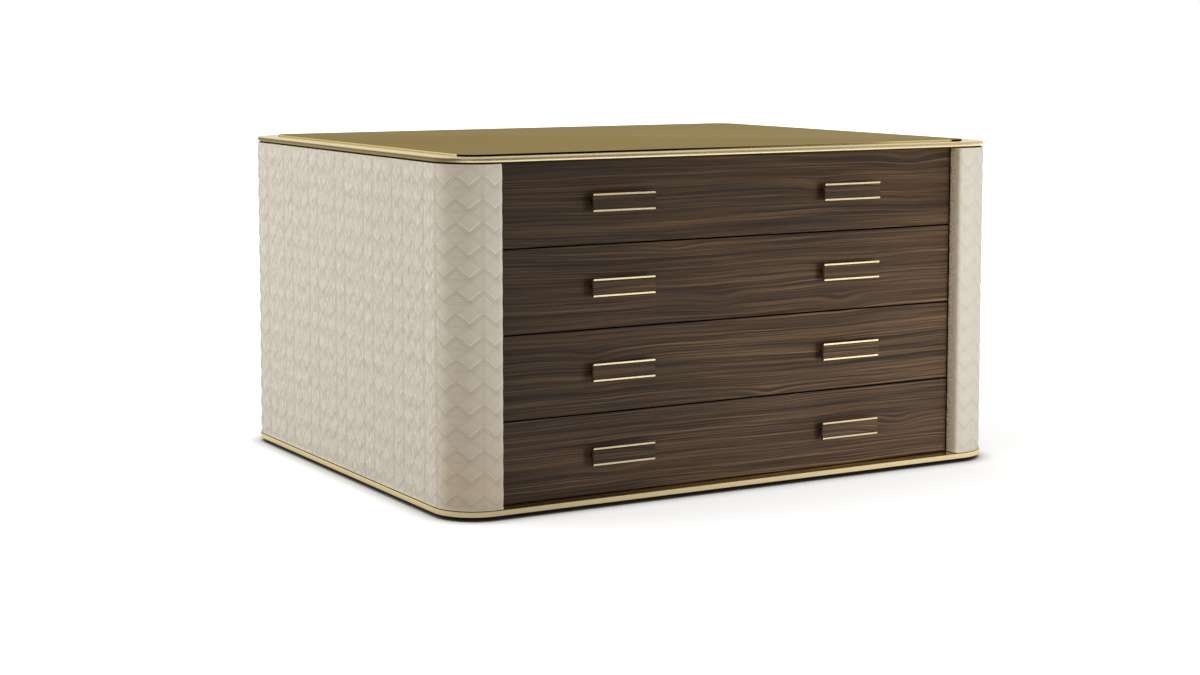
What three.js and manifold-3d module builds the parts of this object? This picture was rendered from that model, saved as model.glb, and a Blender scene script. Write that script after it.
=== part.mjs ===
// A closet island for a dressing room: a low chest with four wide drawers.
// Walnut drawer fronts stand back between two sides that are upholstered in quilted
// leather, and the leather wraps the rounded corners on to the front and the back.
// A brass band runs round the foot, a brass frame round the top, and a raised bronze
// plate lies in the frame. Each drawer hangs on a pair of full extension runners.
//
// Lengths are in millimetres. X runs to the right, Y to the back and Z up, and the
// origin is the middle of the footprint, on the floor.

import * as THREE from "three";
import { mergeVertices } from "three/addons/utils/BufferGeometryUtils.js";
import Module from "manifold-3d";

const wasm = await Module();
wasm.setup();

// Overall sizes
const width = 1610;
const depth = 1296;
const height = 850;
const cornerRadius = 110;
const cornerSteps = 8;

// The clearance between two pieces that rest on each other, and the length by which a
// cutting block stands out of what it cuts
const seat = 0.3;
const overrun = 5;

// Foot: a recessed plinth, and a brass band round a board
const plinthHeight = 11;
const plinthInset = 40;
const bandHeight = 13;
const bandWidth = 60;
const bandBevel = 1;

// Top: the frame's vertical face, a fine groove, and a rounded upper edge
const plateThickness = 4.4;
const plateInset = 35;
const plateBevel = 0.8;
const frameWidth = 62;
const frameFace = 5.4;
const frameGroove = 0.8;
const frameRound = 4.6;
const frameRoundSteps = 4;
const frameBevel = 0.5;
const shadowGap = 3.4;
const shadowInset = 24;

// Sides: a hollow wooden side with a thick quilted pad on its outside
const padInset = 1.5;
const padThickness = 20;
const sideFlat = 5.5;
const sideWall = 18;
const sideSteps = 6;
const recess = 43;
const returnLap = 10;

// Quilting: rows from the top down to a plain hem, and columns from the front edge
const quiltRows = 15;
const quiltDepth = 5;
const hemHeight = 10;
const hemRoll = 4;
const padEdge = 8;
const edgeColumn = 54;
const cornerColumn = 64;
const cornerColumns = 3;
const middleColumns = 17;

// Panels behind the drawers and at the back
const bayBackThickness = 16;
const bayBackGap = 8;
const backThickness = 20;

// Drawers: the lowest is a little shorter than the others, and each box stands clear of
// the tops and bottoms of its share of the height
const drawerCount = 4;
const drawerGap = 3;
const lastDrawerShort = 5.6;
const frontSideGap = 4;
const frontThickness = 20;
const frontBevel = 0.8;
const boxLength = 600;
const boxDrop = 31.1;
const boxLift = 22;
const boxWall = 14;
const boxBottom = 8;
const boxBottomLift = 12;

// Pulls: a brass channel on two posts, with a walnut slip between its lips
const pullLength = 172.4;
const pullSpread = 673;
const pullProud = 22.7;
const pullLipPitch = 37.2;
const pullLip = 6;
const pullWeb = 2;
const pullSlip = 5.3;
const pullSlipSet = 0.9;
const postPitch = 160;
const postDiameter = 10;
const postSides = 16;

// Runners: three nested steel channels in the space beside each drawer box
const runnerSpace = 13;
const runnerHeight = 45;
const runnerSheet = 1.4;
const runnerPlay = 0.5;
const runnerLift = 40;
const runnerSet = 2;

// Levels, from the floor up and from the top down
const bandBottom = plinthHeight + seat;
const bandTop = plinthHeight + bandHeight;
const bodyBottom = bandTop + seat;
const plateBottom = height - plateThickness;
const frameTop = plateBottom - seat;
const frameBottom = frameTop - frameFace - frameGroove - frameRound;
const bodyTop = frameBottom - shadowGap;
const boardTop = frameBottom - seat;

// Places that several pieces share
const halfWidth = width / 2;
const halfDepth = depth / 2;
const arcX = halfWidth - cornerRadius;
const arcY = halfDepth - cornerRadius;
const openingHalf = arcX - sideFlat - padThickness;
const frontFace = -halfDepth + recess;
const frontBack = frontFace + frontThickness;
const returnEnd = halfDepth - recess - returnLap;
const boxFront = frontBack + seat;
const boxEnd = boxFront + boxLength;
const boxHalf = openingHalf - runnerSpace;

// The bay's height is shared out between the drawers
const drawerPitch = (bodyTop - bodyBottom + lastDrawerShort) / drawerCount;
const boxHeight = drawerPitch - boxLift - boxDrop;
const pullDrop = (drawerPitch - drawerGap) / 2;

// Finishes
const finish = (color, roughness, metalness) =>
  new THREE.MeshStandardMaterial({ color, roughness, metalness });
const brass = finish(0xcbb582, 0.28, 1);
const bronze = finish(0x94825a, 0.3, 1);
const leather = finish(0xcfc8ba, 0.75, 0);
const walnut = finish(0x46332a, 0.5, 0);
const carcassBoard = finish(0x54403a, 0.6, 0);
const drawerBoard = finish(0xb49c7c, 0.6, 0);
const steel = finish(0xb4b6b8, 0.35, 1);
const black = finish(0x17130f, 0.7, 0);

const island = new THREE.Group();
const leftHalf = new THREE.Group();
leftHalf.scale.x = -1;
island.add(leftHalf);

// Adds a named mesh to a group.
function piece(name, geometry, material, group = island) {
  const mesh = new THREE.Mesh(geometry, material);
  mesh.name = name;
  group.add(mesh);
  return mesh;
}

// Turns a closed geometry into a solid that can be joined and cut.
function solid(geometry) {
  const bare = geometry.index ? geometry.clone() : geometry;
  bare.deleteAttribute("normal");
  bare.deleteAttribute("uv");
  const merged = mergeVertices(bare);
  return new wasm.Manifold(
    new wasm.Mesh({
      numProp: 3,
      vertProperties: merged.attributes.position.array,
      triVerts: new Uint32Array(merged.index.array),
    }),
  );
}

// Turns a joined or cut solid back into a geometry.
function geometryOf(body) {
  const mesh = body.getMesh();
  const geometry = new THREE.BufferGeometry();
  geometry.setAttribute(
    "position",
    new THREE.BufferAttribute(mesh.vertProperties, 3),
  );
  geometry.setIndex(new THREE.BufferAttribute(mesh.triVerts, 1));
  return geometry;
}

// A box from its lowest corner to its highest.
function block(low, high) {
  const size = high.map((top, axis) => top - low[axis]);
  const middle = high.map((top, axis) => (top + low[axis]) / 2);
  return new THREE.BoxGeometry(...size).translate(...middle);
}

// A flat shape, drawn in Y and Z, extruded along X.
function alongX(shape, length, options = {}) {
  const geometry = new THREE.ExtrudeGeometry(shape, {
    depth: length,
    bevelEnabled: false,
    ...options,
  });
  const turn = new THREE.Matrix4().makeBasis(
    new THREE.Vector3(0, 1, 0),
    new THREE.Vector3(0, 0, 1),
    new THREE.Vector3(1, 0, 0),
  );
  return geometry.applyMatrix4(turn);
}

// A flat shape, drawn in X and Z, extruded forwards along -Y.
function alongY(shape, length, options = {}) {
  const geometry = new THREE.ExtrudeGeometry(shape, {
    depth: length,
    bevelEnabled: false,
    ...options,
  });
  const turn = new THREE.Matrix4().makeBasis(
    new THREE.Vector3(1, 0, 0),
    new THREE.Vector3(0, 0, 1),
    new THREE.Vector3(0, -1, 0),
  );
  return geometry.applyMatrix4(turn);
}

function polygon(points) {
  return new THREE.Shape(points.map(([x, y]) => new THREE.Vector2(x, y)));
}

// The island's rounded outline seen from above, moved inwards by inset.
function outline(inset) {
  const radius = cornerRadius - inset;
  const corners = [
    [arcX, arcY],
    [-arcX, arcY],
    [-arcX, -arcY],
    [arcX, -arcY],
  ];
  return corners.flatMap(([x, y], quarter) =>
    Array.from({ length: cornerSteps + 1 }, (_, step) => {
      const angle = ((quarter + step / cornerSteps) * Math.PI) / 2;
      return [x + radius * Math.cos(angle), y + radius * Math.sin(angle)];
    }),
  );
}

// Collects triangles, given as corners, into one geometry.
function surface() {
  const corners = [];
  return {
    triangle: (a, b, c) => corners.push(a, b, c),
    quad: (a, b, c, d) => corners.push(a, b, c, a, c, d),
    geometry: () =>
      new THREE.BufferGeometry().setFromPoints(
        corners.map(([x, y, z]) => new THREE.Vector3(x, y, z)),
      ),
  };
}

// Loops of the outline at the profile's insets and levels, one loop to a point.
function loops(profile) {
  return profile.map(([inset, z]) => outline(inset).map(([x, y]) => [x, y, z]));
}

// Joins each loop to the next by a band of faces.
function skin(made, lower, upper) {
  lower.forEach((corner, i) => {
    const next = (i + 1) % lower.length;
    made.quad(corner, lower[next], upper[next], upper[i]);
  });
}

// A slab of the island's outline: walls through the profile, from the bottom up, and a
// flat face at each end.
function slab(profile) {
  const made = surface();
  const rings = loops(profile);
  rings.slice(1).forEach((ring, i) => skin(made, rings[i], ring));
  const first = rings[0];
  const last = rings[rings.length - 1];
  for (let i = 1; i < first.length - 1; i += 1) {
    made.triangle(first[0], first[i + 1], first[i]);
    made.triangle(last[0], last[i], last[i + 1]);
  }
  return made.geometry();
}

// A ring of the island's outline: a closed profile carried round it.
function ring(profile) {
  const made = surface();
  const rings = loops(profile);
  rings.forEach((lower, i) => skin(made, lower, rings[(i + 1) % rings.length]));
  return made.geometry();
}

// Foot

piece(
  "plinth",
  slab([
    [plinthInset, 0],
    [plinthInset, plinthHeight],
  ]),
  black,
);

piece(
  "base_band",
  ring([
    [bandWidth, bandBottom],
    [bandBevel, bandBottom],
    [0, bandBottom + bandBevel],
    [0, bandTop - bandBevel],
    [bandBevel, bandTop],
    [bandWidth, bandTop],
  ]),
  brass,
);

piece(
  "base_board",
  slab([
    [bandWidth + seat, bandBottom],
    [bandWidth + seat, bandTop],
  ]),
  carcassBoard,
);

// Top

piece(
  "top_board",
  slab([
    [shadowInset, bodyTop + seat],
    [shadowInset, boardTop],
    [frameWidth + seat, boardTop],
    [frameWidth + seat, frameTop],
  ]),
  carcassBoard,
);

const roundStart = frameBottom + frameFace + frameGroove;
const frameRoundProfile = Array.from({ length: frameRoundSteps + 1 }, (_, i) => {
  const angle = ((i / frameRoundSteps) * Math.PI) / 2;
  return [
    frameRound * (1 - Math.cos(angle)),
    roundStart + frameRound * Math.sin(angle),
  ];
});

piece(
  "top_frame",
  ring([
    [frameWidth, frameBottom],
    [frameBevel, frameBottom],
    [0, frameBottom + frameBevel],
    [0, frameBottom + frameFace],
    [frameGroove, frameBottom + frameFace],
    [frameGroove, roundStart],
    ...frameRoundProfile,
    [frameWidth, frameTop],
  ]),
  brass,
);

piece(
  "top_plate",
  slab([
    [plateInset, plateBottom],
    [plateInset, height - plateBevel],
    [plateInset + plateBevel, height],
  ]),
  bronze,
);

// Sides

// A side seen from above: it is notched at both ends for the leather's returns, and
// hollow between its boards and its solid corner posts.
function sideShape() {
  const inset = padInset + padThickness + seat;
  const notchX = openingHalf + padThickness + seat;
  const notchY = returnEnd - seat;
  const outerRadius = cornerRadius - inset;
  const shape = new THREE.Shape();
  shape.moveTo(openingHalf, -notchY);
  shape.lineTo(notchX, -notchY);
  shape.lineTo(notchX, -halfDepth + inset);
  shape.absarc(arcX, -arcY, outerRadius, -Math.PI / 2, 0, false);
  shape.absarc(arcX, arcY, outerRadius, 0, Math.PI / 2, false);
  shape.lineTo(notchX, halfDepth - inset);
  shape.lineTo(notchX, notchY);
  shape.lineTo(openingHalf, notchY);
  shape.closePath();

  const innerRadius = outerRadius - sideWall;
  const hollowY = notchY - sideWall;
  const reach = Math.asin((hollowY - arcY) / innerRadius);
  const hollow = new THREE.Path();
  hollow.moveTo(openingHalf + sideWall, -hollowY);
  hollow.absarc(arcX, -arcY, innerRadius, -reach, 0, false);
  hollow.absarc(arcX, arcY, innerRadius, 0, reach, false);
  hollow.lineTo(openingHalf + sideWall, hollowY);
  hollow.closePath();
  shape.holes.push(hollow);
  return shape;
}

const sideGeometry = new THREE.ExtrudeGeometry(sideShape(), {
  depth: bodyTop - bodyBottom,
  bevelEnabled: false,
  curveSegments: sideSteps / 2, // an arc gets two steps to a segment
}).translate(0, 0, bodyBottom);

piece("left_side", sideGeometry, carcassBoard, leftHalf);
piece("right_side", sideGeometry.clone(), carcassBoard);

// Quilted pads

const wrapLength = halfWidth - cornerRadius - openingHalf;
const arcLength = ((cornerRadius - padInset) * Math.PI) / 2;
const sideLength = 2 * arcY;
const padLength = 2 * (wrapLength + arcLength) + sideLength;

// The point at length s along the pad's outside, seen from above, moved inwards by lift.
// The path starts at the drawers' edge in front and ends at the same edge behind.
function padPoint(s, lift) {
  const back = s > padLength / 2;
  const along = back ? padLength - s : s;
  const turn = back ? -1 : 1;
  const inset = padInset + lift;
  if (along <= wrapLength)
    return [openingHalf + along, turn * (-halfDepth + inset)];
  if (along <= wrapLength + arcLength) {
    const angle = (along - wrapLength) / (cornerRadius - padInset);
    const radius = cornerRadius - inset;
    return [
      arcX + radius * Math.sin(angle),
      turn * (-arcY - radius * Math.cos(angle)),
    ];
  }
  return [
    halfWidth - inset,
    turn * (-arcY + along - wrapLength - arcLength),
  ];
}

// The column boundaries along the pad, from front edge to back edge.
function columnPlaces() {
  const front = [padEdge];
  for (let i = 0; i <= cornerColumns; i += 1)
    front.push(edgeColumn + i * cornerColumn);
  const last = front[front.length - 1];
  const step = (padLength - 2 * last) / middleColumns;
  const middle = Array.from(
    { length: middleColumns - 1 },
    (_, i) => last + (i + 1) * step,
  );
  const behind = front.map((s) => padLength - s).reverse();
  return [...front, ...middle, ...behind];
}

// Joins two lines of points, each a corner with its place t along the edge, by a strip
// of triangles that takes the nearer next point each time.
function zip(made, right, left) {
  let i = 0;
  let j = 0;
  while (i < right.length - 1 || j < left.length - 1) {
    const stepRight =
      j === left.length - 1 ||
      (i < right.length - 1 && right[i + 1].t <= left[j + 1].t);
    if (stepRight) {
      made.triangle(right[i].at, right[i + 1].at, left[j].at);
      i += 1;
    } else {
      made.triangle(right[i].at, left[j + 1].at, left[j].at);
      j += 1;
    }
  }
}

// The pad: in each cell of the quilting a diamond puffs out to a peak, and the diamonds
// between them lie low. The stitched lines cross at the middles of the cells' sides.
function padGeometry() {
  const made = surface();
  const places = columnPlaces();
  const columns = places.length - 1;
  const rowPitch = (bodyTop - bodyBottom - hemHeight) / quiltRows;
  const sAt = (c) => {
    const low = Math.floor(c);
    return c === low ? places[low] : (places[low] + places[low + 1]) / 2;
  };
  const node = (c, r, lift) => [
    ...padPoint(sAt(c), lift),
    bodyTop - r * rowPitch,
  ];
  const seam = (c, r) => node(c, r, quiltDepth);

  for (let c = 0; c < columns; c += 1)
    for (let r = 0; r < quiltRows; r += 1) {
      const peak = node(c + 1 / 2, r + 1 / 2, 0);
      const west = seam(c, r + 1 / 2);
      const east = seam(c + 1, r + 1 / 2);
      const north = seam(c + 1 / 2, r);
      const south = seam(c + 1 / 2, r + 1);
      made.triangle(west, south, peak);
      made.triangle(south, east, peak);
      made.triangle(east, north, peak);
      made.triangle(north, west, peak);
    }

  for (let c = 0; c <= columns; c += 1)
    for (let r = 0; r <= quiltRows; r += 1) {
      const here = seam(c, r);
      const west = c > 0 ? seam(c - 1 / 2, r) : here;
      const east = c < columns ? seam(c + 1 / 2, r) : here;
      const north = r > 0 ? seam(c, r - 1 / 2) : here;
      const south = r < quiltRows ? seam(c, r + 1 / 2) : here;
      const atEnd = c === 0 || c === columns;
      const atRim = r === 0 || r === quiltRows;
      if (atEnd && atRim) {
        const side = c === 0 ? east : west;
        const rim = r === 0 ? south : north;
        const turned = (c === 0) === (r === 0);
        made.triangle(here, turned ? rim : side, turned ? side : rim);
      } else if (c === 0) made.triangle(north, south, east);
      else if (c === columns) made.triangle(north, west, south);
      else if (r === 0) made.triangle(west, south, east);
      else if (r === quiltRows) made.triangle(west, east, north);
      else made.quad(west, south, east, north);
    }

  // The lines of points that bound the quilting, and what they turn to
  const acrossShares = [0];
  for (let c = 0; c < columns; c += 1) acrossShares.push(c + 1 / 2);
  acrossShares.push(columns);
  const downShares = [0];
  for (let r = 0; r < quiltRows; r += 1) downShares.push(r + 1 / 2);
  downShares.push(quiltRows);

  const returnTop = (sign) => [openingHalf, sign * returnEnd, bodyTop];
  const returnFoot = (sign) => [openingHalf, sign * returnEnd, bodyBottom];
  const cornerTurn = halfDepth - padInset - quiltDepth - padEdge;
  const cornerTop = (sign) => [openingHalf, sign * cornerTurn, bodyTop];
  const cornerFoot = (sign) => [openingHalf, sign * cornerTurn, bodyBottom];

  const far = padLength + padEdge;
  const farther = far + padEdge;
  const frame = (line, start, startTurn, end, endTurn) => [
    { t: -2 * padEdge, at: start },
    { t: -padEdge, at: startTurn },
    ...line,
    { t: far, at: endTurn },
    { t: farther, at: end },
  ];
  const topLine = acrossShares.map((c) => ({ t: sAt(c), at: seam(c, 0) }));
  const hemLine = acrossShares.map((c) => ({
    t: sAt(c),
    at: seam(c, quiltRows),
  }));
  const footLine = acrossShares.map((c) => ({
    t: sAt(c),
    at: [...padPoint(sAt(c), hemRoll), bodyBottom],
  }));
  const outerTop = frame(
    topLine,
    returnTop(-1),
    cornerTop(-1),
    returnTop(1),
    cornerTop(1),
  );
  const outerFoot = frame(
    footLine,
    returnFoot(-1),
    cornerFoot(-1),
    returnFoot(1),
    cornerFoot(1),
  );
  zip(made, footLine, hemLine);

  // The ends: the return's face, and the turn from it to the quilting
  [-1, 1].forEach((sign) => {
    const column = sign < 0 ? 0 : columns;
    const low = { t: quiltRows + 1, at: cornerFoot(sign) };
    const high = { t: 0, at: cornerTop(sign) };
    const edge = downShares.map((r) => ({ t: r, at: seam(column, r) }));
    const s = sAt(column);
    edge.push({
      t: quiltRows + 1,
      at: [...padPoint(s, hemRoll), bodyBottom],
    });
    if (sign < 0) {
      zip(made, [high, low], edge);
      made.quad(returnTop(sign), returnFoot(sign), low.at, high.at);
    } else {
      zip(made, edge, [high, low]);
      made.quad(high.at, low.at, returnFoot(sign), returnTop(sign));
    }
  });

  // The back of the pad, which lies against the side
  const innerX = openingHalf + padThickness;
  const arcPlaces = Array.from(
    { length: sideSteps + 1 },
    (_, i) => wrapLength + (i / sideSteps) * arcLength,
  );
  const innerPlaces = [
    ...arcPlaces,
    ...arcPlaces.map((s) => padLength - s).reverse(),
  ];
  const innerLine = (z) =>
    frame(
      innerPlaces.map((s) => ({ t: s, at: [...padPoint(s, padThickness), z] })),
      [innerX, -returnEnd, z],
      [innerX, -halfDepth + padInset + padThickness, z],
      [innerX, returnEnd, z],
      [innerX, halfDepth - padInset - padThickness, z],
    );
  const innerTop = innerLine(bodyTop);
  const innerFoot = innerLine(bodyBottom);
  zip(made, outerTop, innerTop);
  zip(made, innerFoot, outerFoot);
  zip(made, innerTop, innerFoot);
  made.quad(
    returnTop(-1),
    innerTop[0].at,
    innerFoot[0].at,
    returnFoot(-1),
  );
  made.quad(
    returnFoot(1),
    innerFoot[innerFoot.length - 1].at,
    innerTop[innerTop.length - 1].at,
    returnTop(1),
  );
  return made.geometry();
}

const padSolid = padGeometry();
piece("left_pad", padSolid, leather, leftHalf);
piece("right_pad", padSolid.clone(), leather);

// Panels

const panelHalf = openingHalf - seat;
piece(
  "bay_back",
  block(
    [-panelHalf, boxEnd + bayBackGap, bodyBottom],
    [panelHalf, boxEnd + bayBackGap + bayBackThickness, bodyTop],
  ),
  carcassBoard,
);
piece(
  "back_panel",
  block(
    [-panelHalf, halfDepth - recess - backThickness, bodyBottom],
    [panelHalf, halfDepth - recess, bodyTop],
  ),
  walnut,
);

// Drawers

// A slab with its edges broken, which covers one drawer's share of the front.
function frontGeometry(bottom, top) {
  const half = openingHalf - frontSideGap;
  const shape = polygon([
    [-half + frontBevel, bottom + frontBevel],
    [half - frontBevel, bottom + frontBevel],
    [half - frontBevel, top - frontBevel],
    [-half + frontBevel, top - frontBevel],
  ]);
  return alongY(shape, frontThickness - 2 * frontBevel, {
    bevelEnabled: true,
    bevelSize: frontBevel,
    bevelThickness: frontBevel,
    bevelSegments: 1,
  }).translate(0, frontBack - frontBevel, 0);
}

// An open box whose bottom is let into its four walls above their lower edge.
function boxGeometry(bottom) {
  const top = bottom + boxHeight;
  const floor = bottom + boxBottomLift;
  const inner = boxHalf - boxWall;
  const front = boxFront + boxWall;
  const end = boxEnd - boxWall;
  const walls = solid(
    block([-boxHalf, boxFront, bottom], [boxHalf, boxEnd, top]),
  );
  const inside = solid(
    block([-inner, front, floor + boxBottom], [inner, end, top + overrun]),
  );
  const under = solid(
    block([-inner, front, bottom - overrun], [inner, end, floor]),
  );
  return geometryOf(walls.subtract(inside).subtract(under));
}

// The pull's brass part, about the middle of its length and height. Its lips face the
// front, and two posts reach back to the drawer.
function pullGeometry() {
  const face = frontFace - pullProud;
  const webBack = face + pullSlipSet + pullSlip + seat + pullWeb;
  const webFront = webBack - pullWeb;
  const outer = (pullLipPitch + pullLip) / 2;
  const inner = (pullLipPitch - pullLip) / 2;
  const channel = alongX(
    polygon([
      [face, -outer],
      [webBack, -outer],
      [webBack, outer],
      [face, outer],
      [face, inner],
      [webFront, inner],
      [webFront, -inner],
      [face, -inner],
    ]),
    pullLength,
  ).translate(-pullLength / 2, 0, 0);
  const postLength = frontFace - seat - webFront;
  const posts = [-1, 1].map((side) =>
    solid(
      new THREE.CylinderGeometry(
        postDiameter / 2,
        postDiameter / 2,
        postLength,
        postSides,
      ).translate(
        (side * postPitch) / 2,
        webFront + postLength / 2,
        0,
      ),
    ),
  );
  return geometryOf(solid(channel).add(posts[0]).add(posts[1]));
}

function slipGeometry() {
  const face = frontFace - pullProud + pullSlipSet;
  const half = (pullLipPitch - pullLip) / 2 - seat;
  return block(
    [-pullLength / 2, face, -half],
    [pullLength / 2, face + pullSlip, half],
  );
}

// A runner's three channels, drawn for the right side of the opening. Each is given by
// the place of its web's outside, the end of its lips and its half height.
const halfOuter = runnerHeight / 2;
const halfMiddle = halfOuter - runnerSheet - runnerPlay;
const halfInner = halfMiddle - runnerSheet - runnerPlay;
const outerWeb = openingHalf - seat;
const middleWeb = outerWeb - runnerSheet - runnerPlay;
const innerWeb = boxHalf + seat;
const lipEnd = innerWeb + runnerSheet + runnerPlay;
const innerLipEnd = middleWeb - runnerSheet - runnerPlay;

function channelGeometry(web, lips, half, z) {
  const sheet = web > lips ? runnerSheet : -runnerSheet;
  const corners = [
    [web, -half],
    [web, half],
    [lips, half],
    [lips, half - runnerSheet],
    [web - sheet, half - runnerSheet],
    [web - sheet, -half + runnerSheet],
    [lips, -half + runnerSheet],
    [lips, -half],
  ];
  return alongY(polygon(corners), boxLength).translate(0, boxEnd + runnerSet, z);
}

for (let n = 1; n <= drawerCount; n += 1) {
  const pitchTop = bodyTop + drawerGap / 2 - (n - 1) * drawerPitch;
  const top = pitchTop - drawerGap;
  const bottom =
    n < drawerCount ? pitchTop - drawerPitch : bodyBottom + drawerGap / 2;
  const boxFoot = pitchTop - drawerPitch + boxLift;
  const runnerZ = boxFoot + runnerLift;
  const drawer = new THREE.Group();
  const drawerLeft = new THREE.Group();
  drawerLeft.scale.x = -1;
  island.add(drawer);
  drawer.add(drawerLeft);

  piece(`drawer_${n}_front`, frontGeometry(bottom, top), walnut, drawer);
  piece(`drawer_${n}_box`, boxGeometry(boxFoot), drawerBoard, drawer);

  [
    ["left", -1, drawerLeft],
    ["right", 1, drawer],
  ].forEach(([side, sign, half]) => {
    const pull = piece(
      `drawer_${n}_pull_${side}`,
      pullGeometry(),
      brass,
      drawer,
    );
    pull.position.set((sign * pullSpread) / 2, 0, top - pullDrop);
    const slip = piece(
      `drawer_${n}_pull_slip_${side}`,
      slipGeometry(),
      walnut,
      drawer,
    );
    slip.position.copy(pull.position);
    [
      ["outer", outerWeb, lipEnd, halfOuter],
      ["middle", middleWeb, lipEnd, halfMiddle],
      ["inner", innerWeb, innerLipEnd, halfInner],
    ].forEach(([member, web, lips, tall]) =>
      piece(
        `runner_${n}_${member}_${side}`,
        channelGeometry(web, lips, tall, runnerZ),
        steel,
        half,
      ),
    );
  });
}

export default island;
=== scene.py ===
# %% [markdown]
# # A closet island, dressed for the studio
#
# The island is a low chest for the middle of a dressing room. Four wide walnut drawers stand back
# between two sides in quilted leather, on a brass band and under a brass frame with a bronze plate.
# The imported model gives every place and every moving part. This notebook adds what a solid model
# can't show: the finishes, the soft quilting, the rounded metal and the studio round them.

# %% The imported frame
import math

import bmesh
import bpy
import numpy as np
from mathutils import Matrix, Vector


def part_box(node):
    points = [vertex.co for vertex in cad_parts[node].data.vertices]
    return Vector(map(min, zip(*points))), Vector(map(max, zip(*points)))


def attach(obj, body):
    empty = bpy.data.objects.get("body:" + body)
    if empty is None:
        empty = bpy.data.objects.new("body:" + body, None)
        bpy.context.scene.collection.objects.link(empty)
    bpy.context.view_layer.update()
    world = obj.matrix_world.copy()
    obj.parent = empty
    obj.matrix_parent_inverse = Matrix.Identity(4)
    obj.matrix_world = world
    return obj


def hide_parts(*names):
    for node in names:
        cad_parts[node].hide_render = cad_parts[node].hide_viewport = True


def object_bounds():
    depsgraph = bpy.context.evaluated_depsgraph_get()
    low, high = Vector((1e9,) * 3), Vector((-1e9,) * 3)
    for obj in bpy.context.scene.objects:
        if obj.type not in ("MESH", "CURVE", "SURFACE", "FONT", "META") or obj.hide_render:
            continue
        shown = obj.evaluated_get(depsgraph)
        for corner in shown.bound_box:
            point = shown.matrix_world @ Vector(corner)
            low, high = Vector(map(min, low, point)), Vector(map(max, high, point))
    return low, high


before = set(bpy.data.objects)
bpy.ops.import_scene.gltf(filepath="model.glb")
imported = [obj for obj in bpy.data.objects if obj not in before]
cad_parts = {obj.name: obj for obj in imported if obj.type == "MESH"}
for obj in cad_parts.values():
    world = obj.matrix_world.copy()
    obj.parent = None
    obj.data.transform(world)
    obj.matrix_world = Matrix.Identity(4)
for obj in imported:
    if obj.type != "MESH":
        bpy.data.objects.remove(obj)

CAD_BOX = [list(corner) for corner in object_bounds()]
print("CAD box", CAD_BOX)

# %% [markdown]
# ## Sizes
#
# A model in metres is easiest to check when its sizes come from one place. The levels are read from
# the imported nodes, so they can't drift, and the few sizes that no box can tell are written once.

# %% Sizes
MM = 0.001
HALF_WIDTH, HALF_DEPTH = CAD_BOX[1][0], CAD_BOX[1][1]
CORNER = 110 * MM
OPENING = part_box("right_side")[0].x
BODY_FOOT, BODY_TOP = (corner.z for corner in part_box("right_pad"))
BAND_FOOT, BAND_TOP = (corner.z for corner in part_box("base_band"))
FRAME_FOOT, FRAME_TOP = (corner.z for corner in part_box("top_frame"))
FRAME_FACE = 8.2 * MM
FRAME_GROOVE = 0.5 * MM
PLATE_FOOT, PLATE_TOP = (corner.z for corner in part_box("top_plate"))
PLATE_INSET = 60 * MM
DRAWERS = range(1, 5)
print("body from", round(BODY_FOOT, 4), "to", round(BODY_TOP, 4))

# %% [markdown]
# ## The camera
#
# The photograph was taken with a long lens, almost level, from the front left. The place, turn and
# lens were found by fitting the island's own straight edges to those in the photograph. A small
# shift keeps upright edges nearly parallel without sliding the other views.

# %% Camera
SENSOR, LENS, SHIFT = 36, 65.148, -0.08
CAMERA_PLACE = (-2.9737, -5.0564, 1.1331)
AZIMUTH, DIP = math.radians(30.111), math.radians(5.533)
SEEN_TO = 200
camera = bpy.data.objects.new("camera", bpy.data.cameras.new("camera"))
bpy.context.scene.collection.objects.link(camera)
bpy.context.scene.camera = camera
camera.data.sensor_width = SENSOR
camera.data.lens = LENS
camera.data.shift_y = SHIFT
camera.data.clip_end = SEEN_TO
camera.location = CAMERA_PLACE
looking = Vector(
    (math.sin(AZIMUTH) * math.cos(DIP), math.cos(AZIMUTH) * math.cos(DIP), -math.sin(DIP))
)
camera.rotation_mode = "QUATERNION"
camera.rotation_quaternion = looking.to_track_quat("-Z", "Y")
print("camera at", CAMERA_PLACE)

# %% [markdown]
# ## Shader maths in plain Python
#
# A material is a graph of nodes, and long formulas in nodes are hard to read. The class Value wraps
# one socket and lets Python's own signs add the Math nodes. The class Finish holds one material,
# and its method node adds any other kind of node. Colours are written as a screen shows them,
# from 0 to 255, and a shader takes the light that those stand for.

# %% One socket as a value
class Value:
    """One socket of a material. Sums and products of values add Math nodes."""

    def __init__(self, finish, socket):
        self.finish, self.socket = finish, socket

    def do(self, operation, *values):
        made = {i: value for i, value in enumerate(values)}
        return self.finish.node("ShaderNodeMath", {"operation": operation}, made)

    def __add__(self, other):
        return self.do("ADD", self, other)

    def __sub__(self, other):
        return self.do("SUBTRACT", self, other)

    def __rsub__(self, other):
        return self.do("SUBTRACT", other, self)

    def __mul__(self, other):
        return self.do("MULTIPLY", self, other)

    def __truediv__(self, other):
        return self.do("DIVIDE", self, other)

    def __pow__(self, other):
        return self.do("POWER", self, other)

    def __neg__(self):
        return self.do("MULTIPLY", self, -1)

    def __abs__(self):
        return self.do("ABSOLUTE", self)

    def fract(self):
        return self.do("FRACT", self)

    def exp(self):
        return self.do("EXPONENT", self)

    def least(self, other):
        return self.do("MINIMUM", self, other)

    def most(self, other):
        return self.do("MAXIMUM", self, other)

    __radd__, __rmul__ = __add__, __mul__


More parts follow.
